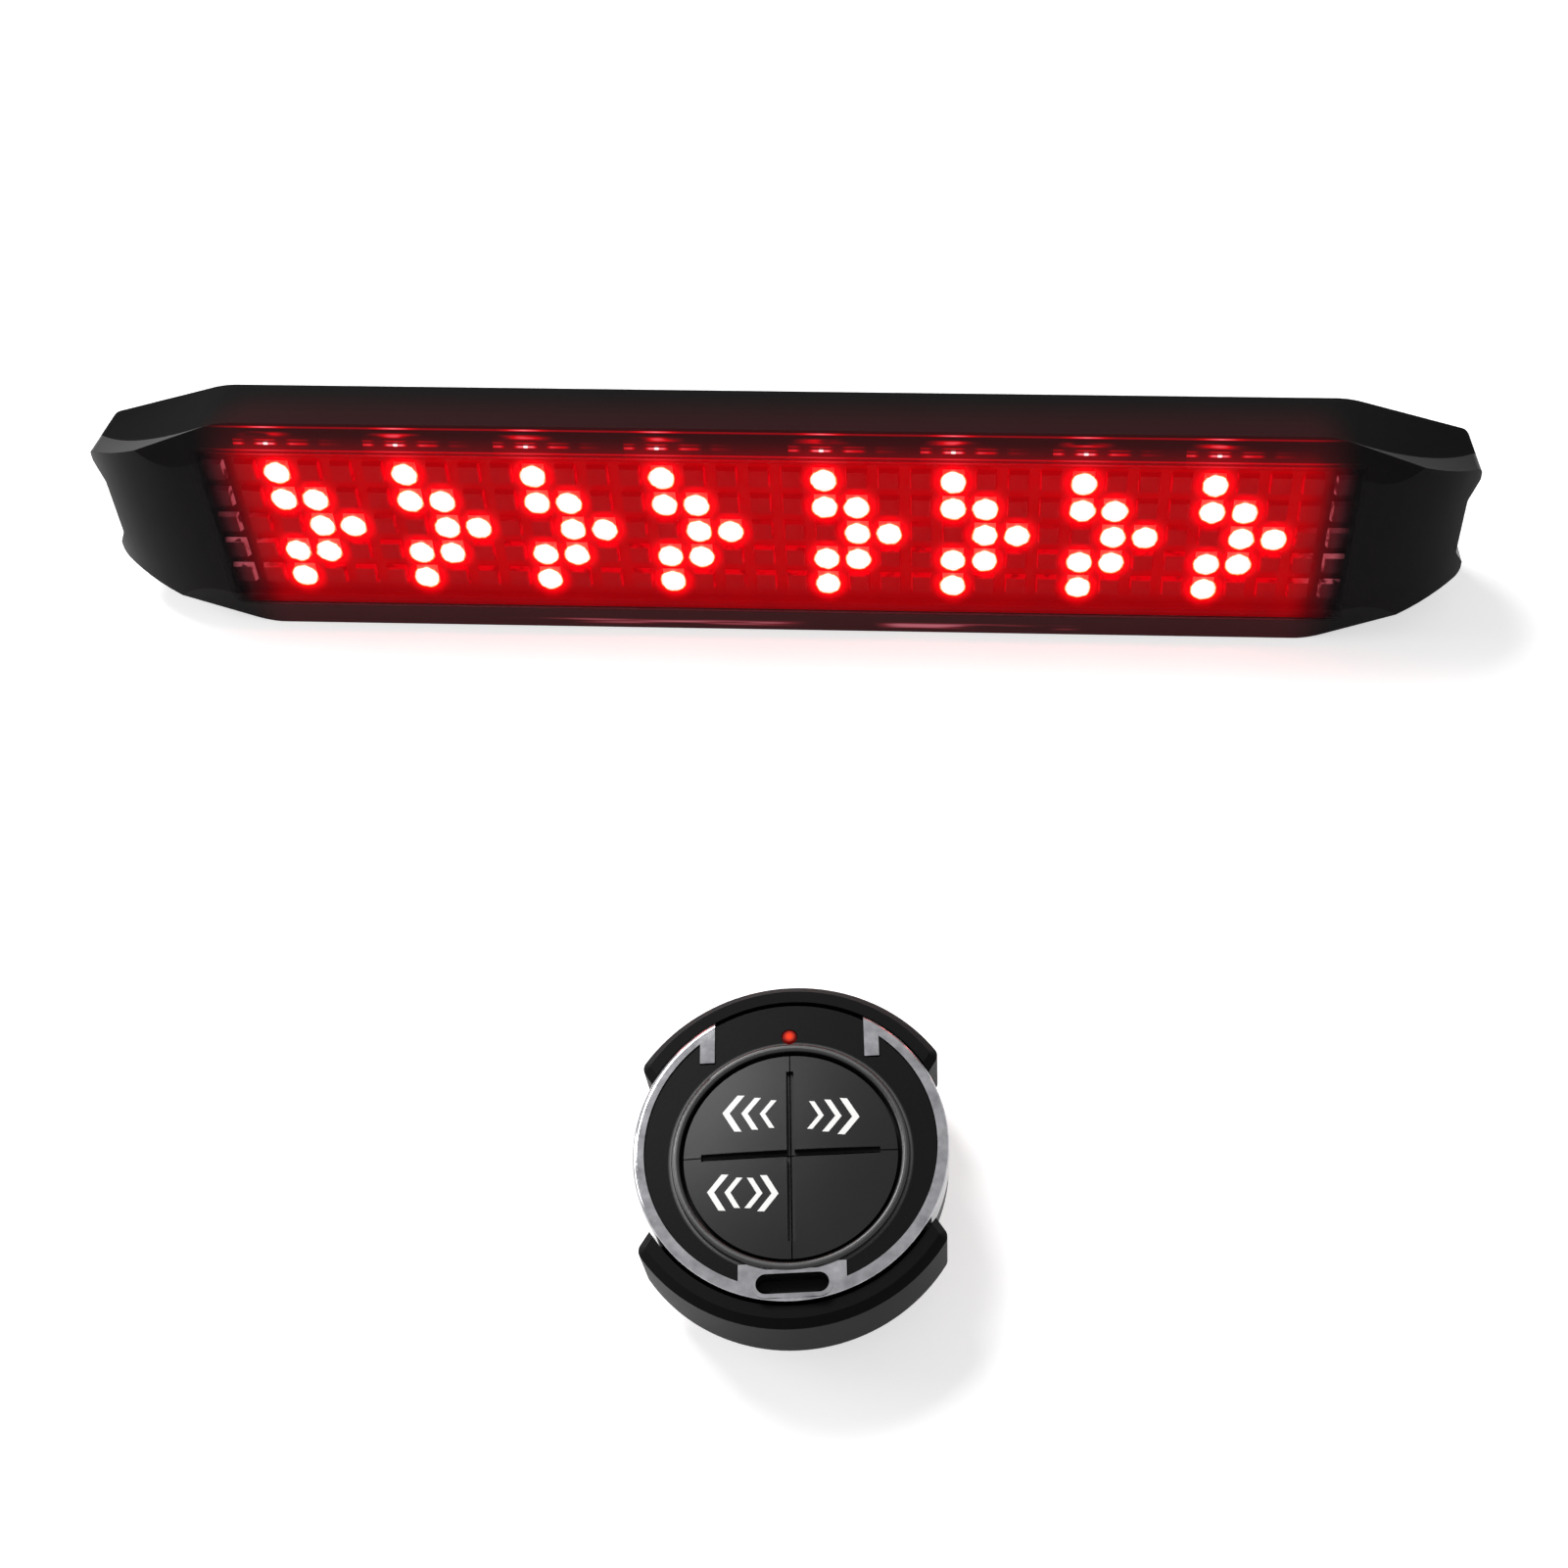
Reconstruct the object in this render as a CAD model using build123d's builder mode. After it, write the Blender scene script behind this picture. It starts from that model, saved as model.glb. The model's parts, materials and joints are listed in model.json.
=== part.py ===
"""Bicycle turn signal light: a red LED bar for the seat post, with its round handlebar remote.

Millimetres, +Z up, +X to the right for somebody who looks at the lamps. The bar stands on its
tapered bottom wall, as it does on a table, so it leans back by the taper. The origin is the middle
of that wall. The remote lies in front of the bar on its own cradle.

Bar pieces are drawn on the plane `front`: x to the right, y up the face, z out towards the viewer,
with depth zero at the tops of the lamps. Remote pieces are drawn on the plane `table`.
"""

import os
from math import acos, atan2, cos, degrees, radians, sin

from build123d import *

os.makedirs("parts", exist_ok=True)

# Clearances that all pieces share
slide_gap = 0.15
seat_gap = 0.1
overrun = 4.0

# Lamp matrix
led_pitch = 4.6
led_rows = 5
led_end_margin = 1.0
led_base_size = 3.1
led_top_size = 2.7
led_height = 0.9
# Each arrow is a chevron of eight lamps, as column and row steps from its first lamp
arrow_steps = [(0, 0), (0, 1), (1, 1), (1, 2), (2, 2), (0, 3), (1, 3), (0, 4)]
arrow_period = 4

# Outline of the bar at the seam between casing and lens
bar_half_length = 100.4
seam_half_height = 17.9
seam_shoulder_run = 22.4
seam_flat_half = bar_half_length - seam_shoulder_run
end_half_height = 9.4
shoulder_radius = 14.0
tip_radius = 1.5

# Outline at the back of the casing
rear_end_inset = 0.4
rear_half_length = bar_half_length - rear_end_inset
rear_half_height = 13.9
rear_shoulder_run = 17.7
rear_flat_half = rear_half_length - rear_shoulder_run
rear_end_half_height = 9.1
rear_edge_radius = 1.6

# Face of the lens, inside its bevel
bevel_width = 4.8
bevel_end_inset = 1.3
face_sweep_run = 16.4
face_flat_half = bar_half_length - face_sweep_run

# Depths from the tops of the lamps, positive towards the viewer
face_depth = 1.5
seam_depth = 0.5
lens_back_depth = 0.1
flange_depth = -5.2
seam_end_depth = -9.4
rear_depth = -16.0

# Notch in each end of the bar
notch_depth = 1.7
notch_web_half = 4.6
notch_mouth_half = 7.6
notch_radius = 1.4

# Flat along the bottom wall that the bar stands on
foot_trim = 0.05

# Inside of the casing
rear_wall = 2.0
pocket_end_wall = 16.2
pocket_half_length = bar_half_length - pocket_end_wall
pocket_half_height = 14.4
cavity_ledge = 2.2
cavity_half_length = pocket_half_length - cavity_ledge
cavity_half_height = 12.0
cavity_corner_radius = 2.0

# Lamp board, its seal and the screws that close the bar
board_thickness = 1.2
board_edge_gap = 0.2
seal_width = 1.5
case_screw_inset = 7.4
case_screw_y = 5.5
case_screw_radius = 1.1
case_screw_head_radius = 2.2
case_screw_head_height = 1.5
case_screw_sink = 1.8
case_screw_length = 12.6
screw_slot_width = 0.6
screw_slot_depth = 0.6

# Battery and its leads
battery_length = 50.0
battery_width = 20.0
battery_thickness = 7.0
battery_corner_radius = 2.0
battery_end_gap = 4.0
battery_x = battery_end_gap + battery_length / 2 - cavity_half_length
battery_pad_thickness = 0.8
battery_pad_margin = 1.5
lead_radius = 0.5
lead_y = 2.0
lead_landing = 3.0

# Control board and what it carries
control_length = 56.0
control_width = 20.0
control_thickness = 1.2
control_end_gap = 10.0
control_x = cavity_half_length - control_end_gap - control_length / 2
standoff_height = 5.5
standoff_radius = 2.2
standoff_inset = 3.0
board_screw_radius = 0.8
board_screw_head_radius = 1.5
board_screw_head_height = 0.8
board_screw_length = 5.0
receiver_length = 14.0
receiver_width = 10.0
receiver_height = 2.0
receiver_from_middle = 14.0
chip_size = 7.0
chip_height = 1.0
chip_from_middle = -2.0
chip_y = -3.0
connector_length = 10.0
connector_width = 2.5
connector_inset = 12.0
connector_y = 6.0

# Charging socket and its rubber flap
usb_from_middle = -4.0
usb_x = control_x + usb_from_middle
usb_width = 9.0
usb_height = 3.3
usb_shell_wall = 0.4
usb_port_margin = 0.3
usb_tongue_width = 6.6
usb_tongue_thickness = 0.7
usb_tongue_length = 4.0
flap_length = 17.0
flap_height = 8.0
flap_thickness = 1.2
flap_corner_radius = 1.5
flap_tongue_length = 0.7
flap_tongue_margin = 0.7
flap_grip_width = 1.2
flap_grip_length = 4.0
flap_grip_height = 0.5

# Power button and its switch
power_from_middle = 16.0
power_x = control_x + power_from_middle
power_cap_radius = 3.2
power_cap_proud = 0.5
power_flange_radius = 4.2
power_flange_thickness = 0.9
power_travel = 0.4
power_stem_radius = 1.2
switch_size = 4.5
switch_height = 3.6

# Seat post bracket
post_radius = 13.6
post_pad_thickness = 1.0
post_half_angle = 58.0
post_pad_lift = 0.3
bracket_height = 13.0
bracket_y = -1.5
bracket_length = 52.0
bracket_base_thickness = 2.6
bracket_corner_radius = 3.0
saddle_depth = 11.0
saddle_side_wall = 2.4
strap_lug_length = 3.2
strap_lug_thickness = 2.2
strap_lug_gap = 3.4
bracket_screw_x = 21.8
bracket_screw_radius = 1.2
bracket_screw_head_radius = 2.4
bracket_screw_head_height = 1.3
bracket_screw_length = 6.6
bracket_boss_radius = 3.0
bracket_boss_height = 4.5

# Where the remote lies on the table, and how far it is turned
remote_x = 8.0
remote_y = -97.5
remote_turn = 4.5

# Handlebar cradle
handlebar_radius = 11.1
handlebar_half_angle = 58.0
handlebar_pad_thickness = 0.8
handlebar_pad_lift = 0.2
handlebar_saddle_length = 26.0
handlebar_pad_length = 24.0
handlebar_saddle_flank = 1.9
handlebar_saddle_crown = 0.5
cradle_radius = 21.75
cradle_half_width = 18.15
cradle_ear_y = 11.2
cradle_neck_half_width = 16.5
cradle_neck_y = 8.6
cradle_corner_radius = 1.2
cradle_disc_thickness = 1.5
cradle_rim_height = 7.8
cradle_rim_chamfer = 1.0
cradle_rim_gap = 0.3

# Body of the remote
ring_radius = 19.0
ring_width = 1.4
ring_rise = 0.2
ring_round = 0.6
back_cover_inset = 0.1
back_cover_height = 4.6
back_cover_wall = 1.2
back_cover_chamfer = 1.0
shell_height = 3.9
shell_plate = 1.2
shell_wall = 1.2
brow_radius = 18.4
brow_half_width = 9.2
remote_seal_width = 0.6
remote_seal_height = 0.4

# Keypad
pad_y = -1.25
pad_radius = 12.8
pad_crown_rise = 0.6
pad_edge_rise = 0.1
collar_gap = 0.45
collar_width = 1.0
collar_height = 0.7
collar_round = 0.4
key_slit = 0.15
groove_width = 0.9
groove_reach = 10.7
groove_depth = 0.5
key_travel = 0.4
membrane_thickness = 0.4
membrane_margin = 0.8

# Hooks and lanyard loop of the trim ring
hook_width = 1.8
hook_end_y = 11.1
hook_thickness = 0.7
loop_half_width = 6.3
loop_inner_y = -14.5
loop_thickness = 1.6
loop_slot_length = 8.5
loop_slot_height = 2.35
loop_slot_y = -17.0
loop_rim_width = 0.5
loop_rim_height = 0.25
loop_well_depth = 0.4
loop_well_floor = 0.8
loop_well_wall = 0.8

# Inside of the remote
cell_radius = 10.0
cell_height = 3.2
clip_length = 17.0
clip_width = 5.0
clip_thickness = 0.4
remote_board_thickness = 0.8
remote_board_gap = 0.2
tact_size = 4.2
tact_height = 0.7
tact_spread = 4.8
remote_screw_orbit = 14.6
remote_screw_angles = [45.0, 135.0, 195.0, 345.0]
remote_screw_radius = 0.6
remote_screw_head_radius = 1.1
remote_screw_head_height = 0.7
remote_screw_tip_gap = 0.3
remote_post_radius = 1.4
remote_boss_radius = 1.1
indicator_y = 14.2
indicator_radius = 0.9
indicator_rise = 0.2

# Lean of the bar, and the planes that its pieces and the remote's are drawn on
lean = atan2(seam_half_height - rear_half_height, seam_depth - rear_depth)


def before_setting_down(up_face, depth):
    """Row y and z of a point of the leaning bar while its lamp plane is still at the origin."""
    return up_face * sin(lean) - depth * cos(lean), up_face * cos(lean) + depth * sin(lean)


front_foot = before_setting_down(-seam_half_height, seam_depth)
rear_foot = before_setting_down(-rear_half_height, rear_depth)
front = Plane(
    origin=(0, -(front_foot[0] + rear_foot[0]) / 2, -front_foot[1] - foot_trim),
    x_dir=(1, 0, 0),
    z_dir=(0, -cos(lean), sin(lean)),
)
behind = Plane(origin=front.origin, x_dir=-front.x_dir, z_dir=-front.z_dir)
plan = Plane(origin=front.origin, x_dir=front.x_dir, z_dir=-front.y_dir)
depth_axis = Axis(front.origin, front.z_dir)

turn = radians(remote_turn)
table = Plane(origin=(remote_x, remote_y, 0), x_dir=(cos(turn), sin(turn), 0), z_dir=(0, 0, 1))
along_bar = Plane(origin=table.origin, x_dir=table.y_dir, z_dir=table.x_dir)

# Lamps that fit the pocket, and the first column of each arrow: an even row each side of a gap
led_columns = int(2 * (pocket_half_length - led_end_margin) / led_pitch)
led_middle = led_columns // 2
arrows_a_side = led_middle // arrow_period
arrow_first_columns = [led_middle - arrow_period * (k + 1) for k in range(arrows_a_side)]
arrow_first_columns += [led_middle + 1 + arrow_period * k for k in range(arrows_a_side)]

# Depths of the bar's inner pieces
board_front = -led_height
board_back = board_front - board_thickness
inner_wall = rear_depth + rear_wall
control_back = inner_wall + standoff_height
control_front = control_back + control_thickness
battery_back = inner_wall + battery_pad_thickness
pocket_length = 2 * pocket_half_length
pocket_height = 2 * pocket_half_height

# Heights of the remote's pieces above the table
handlebar_axis = -handlebar_radius * cos(radians(handlebar_half_angle))
saddle_top = handlebar_axis + handlebar_radius + handlebar_pad_thickness + handlebar_saddle_crown
cradle_floor = saddle_top + cradle_disc_thickness
seam_height = cradle_floor + back_cover_height
face_height = seam_height + shell_height
plate_underside = face_height - shell_plate
cell_floor = cradle_floor + back_cover_wall
cell_top = cell_floor + cell_height
remote_board_bottom = cell_top + clip_thickness
remote_board_top = remote_board_bottom + remote_board_thickness
membrane_bottom = remote_board_top + tact_height
membrane_top = membrane_bottom + membrane_thickness
key_bottom = membrane_top + key_travel + seat_gap
ring_top = face_height + ring_rise
ring_inner = ring_radius - ring_width
loop_well_bottom = ring_top - loop_thickness - loop_well_depth
shell_radius = ring_inner - seat_gap
shell_inner = shell_radius - shell_wall
back_cover_radius = ring_radius - back_cover_inset
remote_screw_spots = [
    (remote_screw_orbit * cos(radians(a)), remote_screw_orbit * sin(radians(a)))
    for a in remote_screw_angles
]


def save(piece, name):
    """Label a finished piece and write its file."""
    piece.part.label = name
    export_step(piece.part, f"parts/{name}.step")


def block(plane, bottom, top, width, height, x=0, y=0, radius=0, mode=Mode.ADD):
    """Block between two heights over a plane, with its upright corners rounded."""
    with BuildSketch(plane.offset(bottom)) as base:
        with Locations((x, y)):
            if radius > 0:
                RectangleRounded(width, height, radius)
            else:
                Rectangle(width, height)
    extrude(base.sketch, amount=top - bottom, mode=mode)


def disc(plane, bottom, top, radius, spots=((0, 0),), mode=Mode.ADD):
    """Discs between two heights over a plane, one at each spot."""
    with BuildSketch(plane.offset(bottom)) as base:
        with Locations(*spots):
            Circle(radius)
    extrude(base.sketch, amount=top - bottom, mode=mode)


def slot(plane, bottom, top, width, height, x=0, y=0, mode=Mode.ADD):
    """Round-ended block between two heights over a plane."""
    with BuildSketch(plane.offset(bottom)) as base:
        with Locations((x, y)):
            SlotOverall(width, height)
    extrude(base.sketch, amount=top - bottom, mode=mode)


def screws(plane, seat, spots, head_radius, head_height, shank_radius, length, slotted=True):
    """Pan head screws: heads stand on the seat, shanks go down from it, cross slots in the heads."""
    disc(plane, seat, seat + head_height, head_radius, spots)
    disc(plane, seat - length, seat, shank_radius, spots)
    if slotted:
        for x, y in spots:
            for across, along in ((head_radius, screw_slot_width), (screw_slot_width, head_radius)):
                block(
                    plane, seat + head_height - screw_slot_depth, seat + head_height + overrun,
                    across, along, x, y, mode=Mode.SUBTRACT,
                )


def bar_outline(flat_half, half_height, half_length, tip_half_height):
    """Long eight-sided outline with soft shoulders and small tip radii."""
    right = [(flat_half, half_height), (half_length, tip_half_height)]
    right += [(x, -y) for x, y in reversed(right)]
    left = [(-x, -y) for x, y in right]
    with BuildSketch() as outline:
        with BuildLine():
            Polyline(*right, *left, close=True)
        make_face()
        fillet(outline.vertices().filter_by(lambda v: abs(v.X) < half_length - seat_gap), shoulder_radius)
        fillet(outline.vertices().filter_by(lambda v: abs(v.X) > half_length - seat_gap), tip_radius)
    return outline.sketch


def swept_region(flat_half, flat_depth, end_depth):
    """All that lies in front of a line which is flat in the middle and sweeps back at the ends."""
    reach = bar_half_length + overrun
    ceiling = face_depth + overrun
    with BuildSketch() as region:
        with BuildLine():
            flat = Line((0, flat_depth), (flat_half, flat_depth))
            sweep_back = TangentArc(flat @ 1, (bar_half_length, end_depth), tangent=flat % 1)
            Polyline(sweep_back @ 1, (reach, end_depth), (reach, ceiling), (0, ceiling), flat @ 0)
        make_face()
        mirror(about=Plane.YZ)
    return region.sketch


seam_outline = bar_outline(seam_flat_half, seam_half_height, bar_half_length, end_half_height)
rear_outline = bar_outline(rear_flat_half, rear_half_height, rear_half_length, rear_end_half_height)
face_outline = bar_outline(
    seam_flat_half - bevel_end_inset,
    seam_half_height - bevel_width,
    bar_half_length - bevel_end_inset,
    end_half_height - bevel_width / 2,
)
beyond_face = swept_region(face_flat_half, face_depth, flange_depth)
beyond_seam = swept_region(seam_flat_half, seam_depth, seam_end_depth)

# Outer form of the whole bar, before it is parted into casing and lens
with BuildPart() as bar_form:
    with BuildSketch(front.offset(seam_depth)):
        add(seam_outline)
    with BuildSketch(front.offset(rear_depth)):
        add(rear_outline)
    loft(ruled=True)
    fillet(faces().sort_by(depth_axis)[0].edges(), rear_edge_radius)
    with BuildSketch(front.offset(seam_depth)):
        add(seam_outline)
    with BuildSketch(front.offset(face_depth)):
        add(face_outline)
    loft(ruled=True)
    with BuildSketch(plan):
        add(beyond_face)
    extrude(amount=bar_half_length, both=True, mode=Mode.SUBTRACT)
    with BuildSketch(front.offset(rear_depth - overrun)) as notches:
        web_x = bar_half_length - notch_depth
        mouth_x = bar_half_length + overrun
        with BuildLine():
            Polyline(
                (mouth_x, notch_mouth_half + overrun), (web_x + notch_depth, notch_mouth_half),
                (web_x, notch_web_half), (web_x, -notch_web_half),
                (web_x + notch_depth, -notch_mouth_half), (mouth_x, -notch_mouth_half - overrun),
                close=True,
            )
        make_face()
        fillet(notches.vertices().filter_by(lambda v: abs(v.Y) < notch_mouth_half + seat_gap), notch_radius)
        mirror(about=Plane.YZ)
    extrude(amount=2 * overrun + face_depth - rear_depth, mode=Mode.SUBTRACT)
    block(Plane.XY, -overrun, 0, 2 * bar_half_length, 2 * bar_half_length, mode=Mode.SUBTRACT)

case_screw_x = bar_half_length - case_screw_inset
case_screw_spots = [(sx * case_screw_x, sy * case_screw_y) for sx in (1, -1) for sy in (1, -1)]
bracket_screw_spots = [(side * bracket_screw_x, bracket_y) for side in (1, -1)]
standoff_spots = [
    (control_x + sx * (control_length / 2 - standoff_inset), sy * (control_width / 2 - standoff_inset))
    for sx in (1, -1)
    for sy in (1, -1)
]
case_screw_seat = rear_depth + case_screw_sink

# Rear casing: tapered black tray with the standoffs, the charging port and the button hole
with BuildPart() as rear_casing:
    add(bar_form.part)
    with BuildSketch(plan):
        add(beyond_seam)
    extrude(amount=bar_half_length, both=True, mode=Mode.SUBTRACT)
    block(front, board_back, face_depth, pocket_length, pocket_height, mode=Mode.SUBTRACT)
    block(
        front, inner_wall, board_back, 2 * cavity_half_length, 2 * cavity_half_height,
        radius=cavity_corner_radius, mode=Mode.SUBTRACT,
    )
    disc(front, inner_wall, control_back, standoff_radius, standoff_spots)
    disc(front, inner_wall, inner_wall + bracket_boss_height, bracket_boss_radius, bracket_screw_spots)
    disc(
        front, control_front - board_screw_length - seat_gap, control_back + seat_gap,
        board_screw_radius + seat_gap / 2, standoff_spots, Mode.SUBTRACT,
    )
    disc(
        front, rear_depth - overrun, rear_depth - bracket_base_thickness + bracket_screw_length + seat_gap,
        bracket_screw_radius + seat_gap / 2, bracket_screw_spots, Mode.SUBTRACT,
    )
    disc(
        front, rear_depth - overrun, face_depth, case_screw_radius + slide_gap, case_screw_spots,
        Mode.SUBTRACT,
    )
    disc(
        front, rear_depth - overrun, case_screw_seat, case_screw_head_radius + slide_gap,
        case_screw_spots, Mode.SUBTRACT,
    )
    disc(
        front, rear_depth - overrun, inner_wall + seat_gap, power_cap_radius + slide_gap,
        [(power_x, 0)], Mode.SUBTRACT,
    )
    block(
        front, rear_depth - overrun, rear_depth + flap_thickness + seat_gap,
        flap_length + 2 * slide_gap, flap_height + 2 * slide_gap, usb_x,
        radius=flap_corner_radius, mode=Mode.SUBTRACT,
    )
    slot(
        front, rear_depth, inner_wall + seat_gap, usb_width + 2 * usb_port_margin,
        usb_height + 2 * usb_port_margin, usb_x, mode=Mode.SUBTRACT,
    )
save(rear_casing, "rear_casing")

# Front lens: smoked cover with a bevel all round, a spigot that drops into the casing, and wings
# that wrap back over both ends
with BuildPart() as front_lens:
    add(bar_form.part)
    with BuildSketch(plan):
        add(beyond_seam)
    extrude(amount=bar_half_length, both=True, mode=Mode.INTERSECT)
    spigot_length = pocket_length - 2 * board_edge_gap
    spigot_height = pocket_height - 2 * board_edge_gap
    block(front, board_back, lens_back_depth, pocket_length, pocket_height, mode=Mode.SUBTRACT)
    block(front, lens_back_depth, seam_depth, spigot_length, spigot_height)
    disc(
        front, rear_depth, case_screw_seat + case_screw_length + seat_gap,
        case_screw_radius + seat_gap / 2, case_screw_spots, Mode.SUBTRACT,
    )
save(front_lens, "front_lens")

# Soft seal between the lamp board and the lens
with BuildPart() as lens_seal:
    block(front, board_front, lens_back_depth, spigot_length, spigot_height)
    block(
        front, board_front, lens_back_depth, spigot_length - 2 * seal_width,
        spigot_height - 2 * seal_width, mode=Mode.SUBTRACT,
    )
save(lens_seal, "lens_seal")

# Lamp board
with BuildPart() as led_board:
    block(front, board_back, board_front, spigot_length, spigot_height)
save(led_board, "led_board")

# Lamps: a square package with sloping sides at every cell of the matrix, lit ones and dark ones
lit_cells = {(first + c, r) for first in arrow_first_columns for c, r in arrow_steps}
all_cells = {(c, r) for c in range(led_columns) for r in range(led_rows)}


def lamp_spots(cells):
    """Places of the given column and row cells on the face of the board."""
    return [
        ((c - (led_columns - 1) / 2) * led_pitch, ((led_rows - 1) / 2 - r) * led_pitch)
        for c, r in sorted(cells)
    ]


slope = degrees(atan2((led_base_size - led_top_size) / 2, led_height))
for name, cells in (("lit_lamps", lit_cells), ("dark_lamps", all_cells - lit_cells)):
    with BuildPart() as lamps:
        with BuildSketch(front.offset(board_front)):
            with Locations(*lamp_spots(cells)):
                Rectangle(led_base_size, led_base_size)
        extrude(amount=led_height, taper=slope)
    save(lamps, name)

# Flat lithium battery on a foam pad, and its two leads to the control board
with BuildPart() as battery_pad:
    block(
        front, inner_wall, battery_back, battery_length - 2 * battery_pad_margin,
        battery_width - 2 * battery_pad_margin, battery_x,
    )
save(battery_pad, "battery_pad")

with BuildPart() as battery:
    block(
        front, battery_back, battery_back + battery_thickness, battery_length, battery_width,
        battery_x, radius=battery_corner_radius,
    )
save(battery, "battery")

lead_start = battery_x + battery_length / 2
lead_end = control_x - control_length / 2 + lead_landing
lead_plane = Plane(
    origin=front.from_local_coords(Vector(lead_start, 0, control_front + lead_radius)),
    x_dir=front.y_dir,
    z_dir=front.x_dir,
)
with BuildPart() as battery_leads:
    disc(lead_plane, 0, lead_end - lead_start, lead_radius, [(lead_y, 0), (-lead_y, 0)])
save(battery_leads, "battery_leads")

# Control board on four standoffs, with its radio receiver, chip and the plug to the lamp board
with BuildPart() as control_board:
    block(front, control_back, control_front, control_length, control_width, control_x)
    disc(
        front, control_back, control_front, board_screw_radius + seat_gap, standoff_spots,
        Mode.SUBTRACT,
    )
save(control_board, "control_board")

with BuildPart() as board_screws:
    screws(
        front, control_front, standoff_spots, board_screw_head_radius, board_screw_head_height,
        board_screw_radius, board_screw_length, slotted=False,
    )
save(board_screws, "board_screws")

with BuildPart() as receiver_module:
    block(
        front, control_front, control_front + receiver_height, receiver_length, receiver_width,
        control_x + receiver_from_middle,
    )
save(receiver_module, "receiver_module")

with BuildPart() as control_chip:
    block(
        front, control_front, control_front + chip_height, chip_size, chip_size,
        control_x + chip_from_middle, chip_y,
    )
save(control_chip, "control_chip")

with BuildPart() as board_connector:
    block(
        front, control_front, board_back, connector_length, connector_width,
        control_x - control_length / 2 + connector_inset, connector_y,
    )
save(board_connector, "board_connector")

# Charging socket: a round-ended metal shell with its contact tongue
with BuildPart() as usb_socket:
    slot(front, inner_wall, control_back, usb_width, usb_height, usb_x)
    slot(
        front, inner_wall, control_back - usb_shell_wall, usb_width - 2 * usb_shell_wall,
        usb_height - 2 * usb_shell_wall, usb_x, mode=Mode.SUBTRACT,
    )
    block(
        front, control_back - usb_shell_wall - usb_tongue_length, control_back - usb_shell_wall,
        usb_tongue_width, usb_tongue_thickness, usb_x,
    )
save(usb_socket, "usb_socket")

# Rubber flap that closes the charging port, hinged along its inner short edge
with BuildPart() as usb_flap:
    flap_inside = rear_depth + flap_thickness
    block(
        front, rear_depth, flap_inside, flap_length, flap_height, usb_x, radius=flap_corner_radius
    )
    slot(
        front, flap_inside, flap_inside + flap_tongue_length, usb_width - flap_tongue_margin,
        usb_height - flap_tongue_margin, usb_x,
    )
    block(
        front, rear_depth - flap_grip_height, rear_depth, flap_grip_width, flap_grip_length,
        usb_x + flap_length / 2 - flap_grip_width,
    )
save(usb_flap, "usb_flap")

# Power button: cap through the rear wall, flange behind it, stem down to the switch
switch_top = control_back - switch_height
with BuildPart() as power_button:
    flange_bottom = inner_wall + seat_gap
    disc(front, rear_depth - power_cap_proud, flange_bottom, power_cap_radius, [(power_x, 0)])
    chamfer(faces().sort_by(depth_axis)[0].edges(), power_cap_proud / 2)
    disc(
        front, flange_bottom, flange_bottom + power_flange_thickness, power_flange_radius,
        [(power_x, 0)],
    )
    disc(
        front, flange_bottom, switch_top - power_travel - seat_gap, power_stem_radius, [(power_x, 0)]
    )
save(power_button, "power_button")

with BuildPart() as power_switch:
    block(front, switch_top, control_back, switch_size, switch_size, power_x)
save(power_switch, "power_switch")

# Screws that close the bar, driven from behind into the wings of the lens
with BuildPart() as case_screws:
    screws(
        behind, -case_screw_seat, [(-x, y) for x, y in case_screw_spots], case_screw_head_radius,
        case_screw_head_height, case_screw_radius, case_screw_length,
    )
save(case_screws, "case_screws")

# Seat post bracket: base plate, V-saddle with a round seat and two lugs a side for a strap
post_axis_depth = rear_depth - saddle_depth - post_radius * cos(radians(post_half_angle))
saddle_radius = post_radius + post_pad_thickness
mouth_depth = rear_depth - saddle_depth
mouth_half = saddle_radius * sin(acos((mouth_depth - post_axis_depth) / saddle_radius))
saddle_half_width = mouth_half + saddle_side_wall
bracket_plan = plan.offset(-bracket_y)
with BuildPart() as post_bracket:
    block(
        front, rear_depth - bracket_base_thickness, rear_depth, bracket_length, bracket_height,
        y=bracket_y, radius=bracket_corner_radius,
    )
    lug_back = rear_depth - bracket_base_thickness - strap_lug_gap
    lug_half = saddle_half_width + strap_lug_length
    with BuildSketch(bracket_plan):
        with BuildLine():
            Polyline(
                (0, rear_depth), (saddle_half_width, rear_depth), (saddle_half_width, lug_back),
                (lug_half, lug_back), (lug_half, lug_back - strap_lug_thickness),
                (saddle_half_width, lug_back - strap_lug_thickness), (saddle_half_width, mouth_depth),
                (0, mouth_depth), close=True,
            )
        make_face()
        mirror(about=Plane.YZ)
        with Locations((0, post_axis_depth)):
            Circle(saddle_radius, mode=Mode.SUBTRACT)
    extrude(amount=bracket_height / 2, both=True)
    disc(
        front, rear_depth - bracket_base_thickness, rear_depth, bracket_screw_radius + slide_gap,
        bracket_screw_spots, Mode.SUBTRACT,
    )
save(post_bracket, "post_bracket")

with BuildPart() as post_pad:
    with BuildSketch(bracket_plan):
        with Locations((0, post_axis_depth)):
            Circle(saddle_radius - seat_gap)
            Circle(post_radius, mode=Mode.SUBTRACT)
        with Locations((0, mouth_depth + post_pad_lift)):
            Rectangle(2 * saddle_radius, saddle_depth, align=(Align.CENTER, Align.MIN), mode=Mode.INTERSECT)
    extrude(amount=bracket_height / 2, both=True)
save(post_pad, "post_pad")

with BuildPart() as bracket_screws:
    screws(
        behind, bracket_base_thickness - rear_depth, [(-x, y) for x, y in bracket_screw_spots],
        bracket_screw_head_radius, bracket_screw_head_height, bracket_screw_radius,
        bracket_screw_length,
    )
save(bracket_screws, "bracket_screws")

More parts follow.
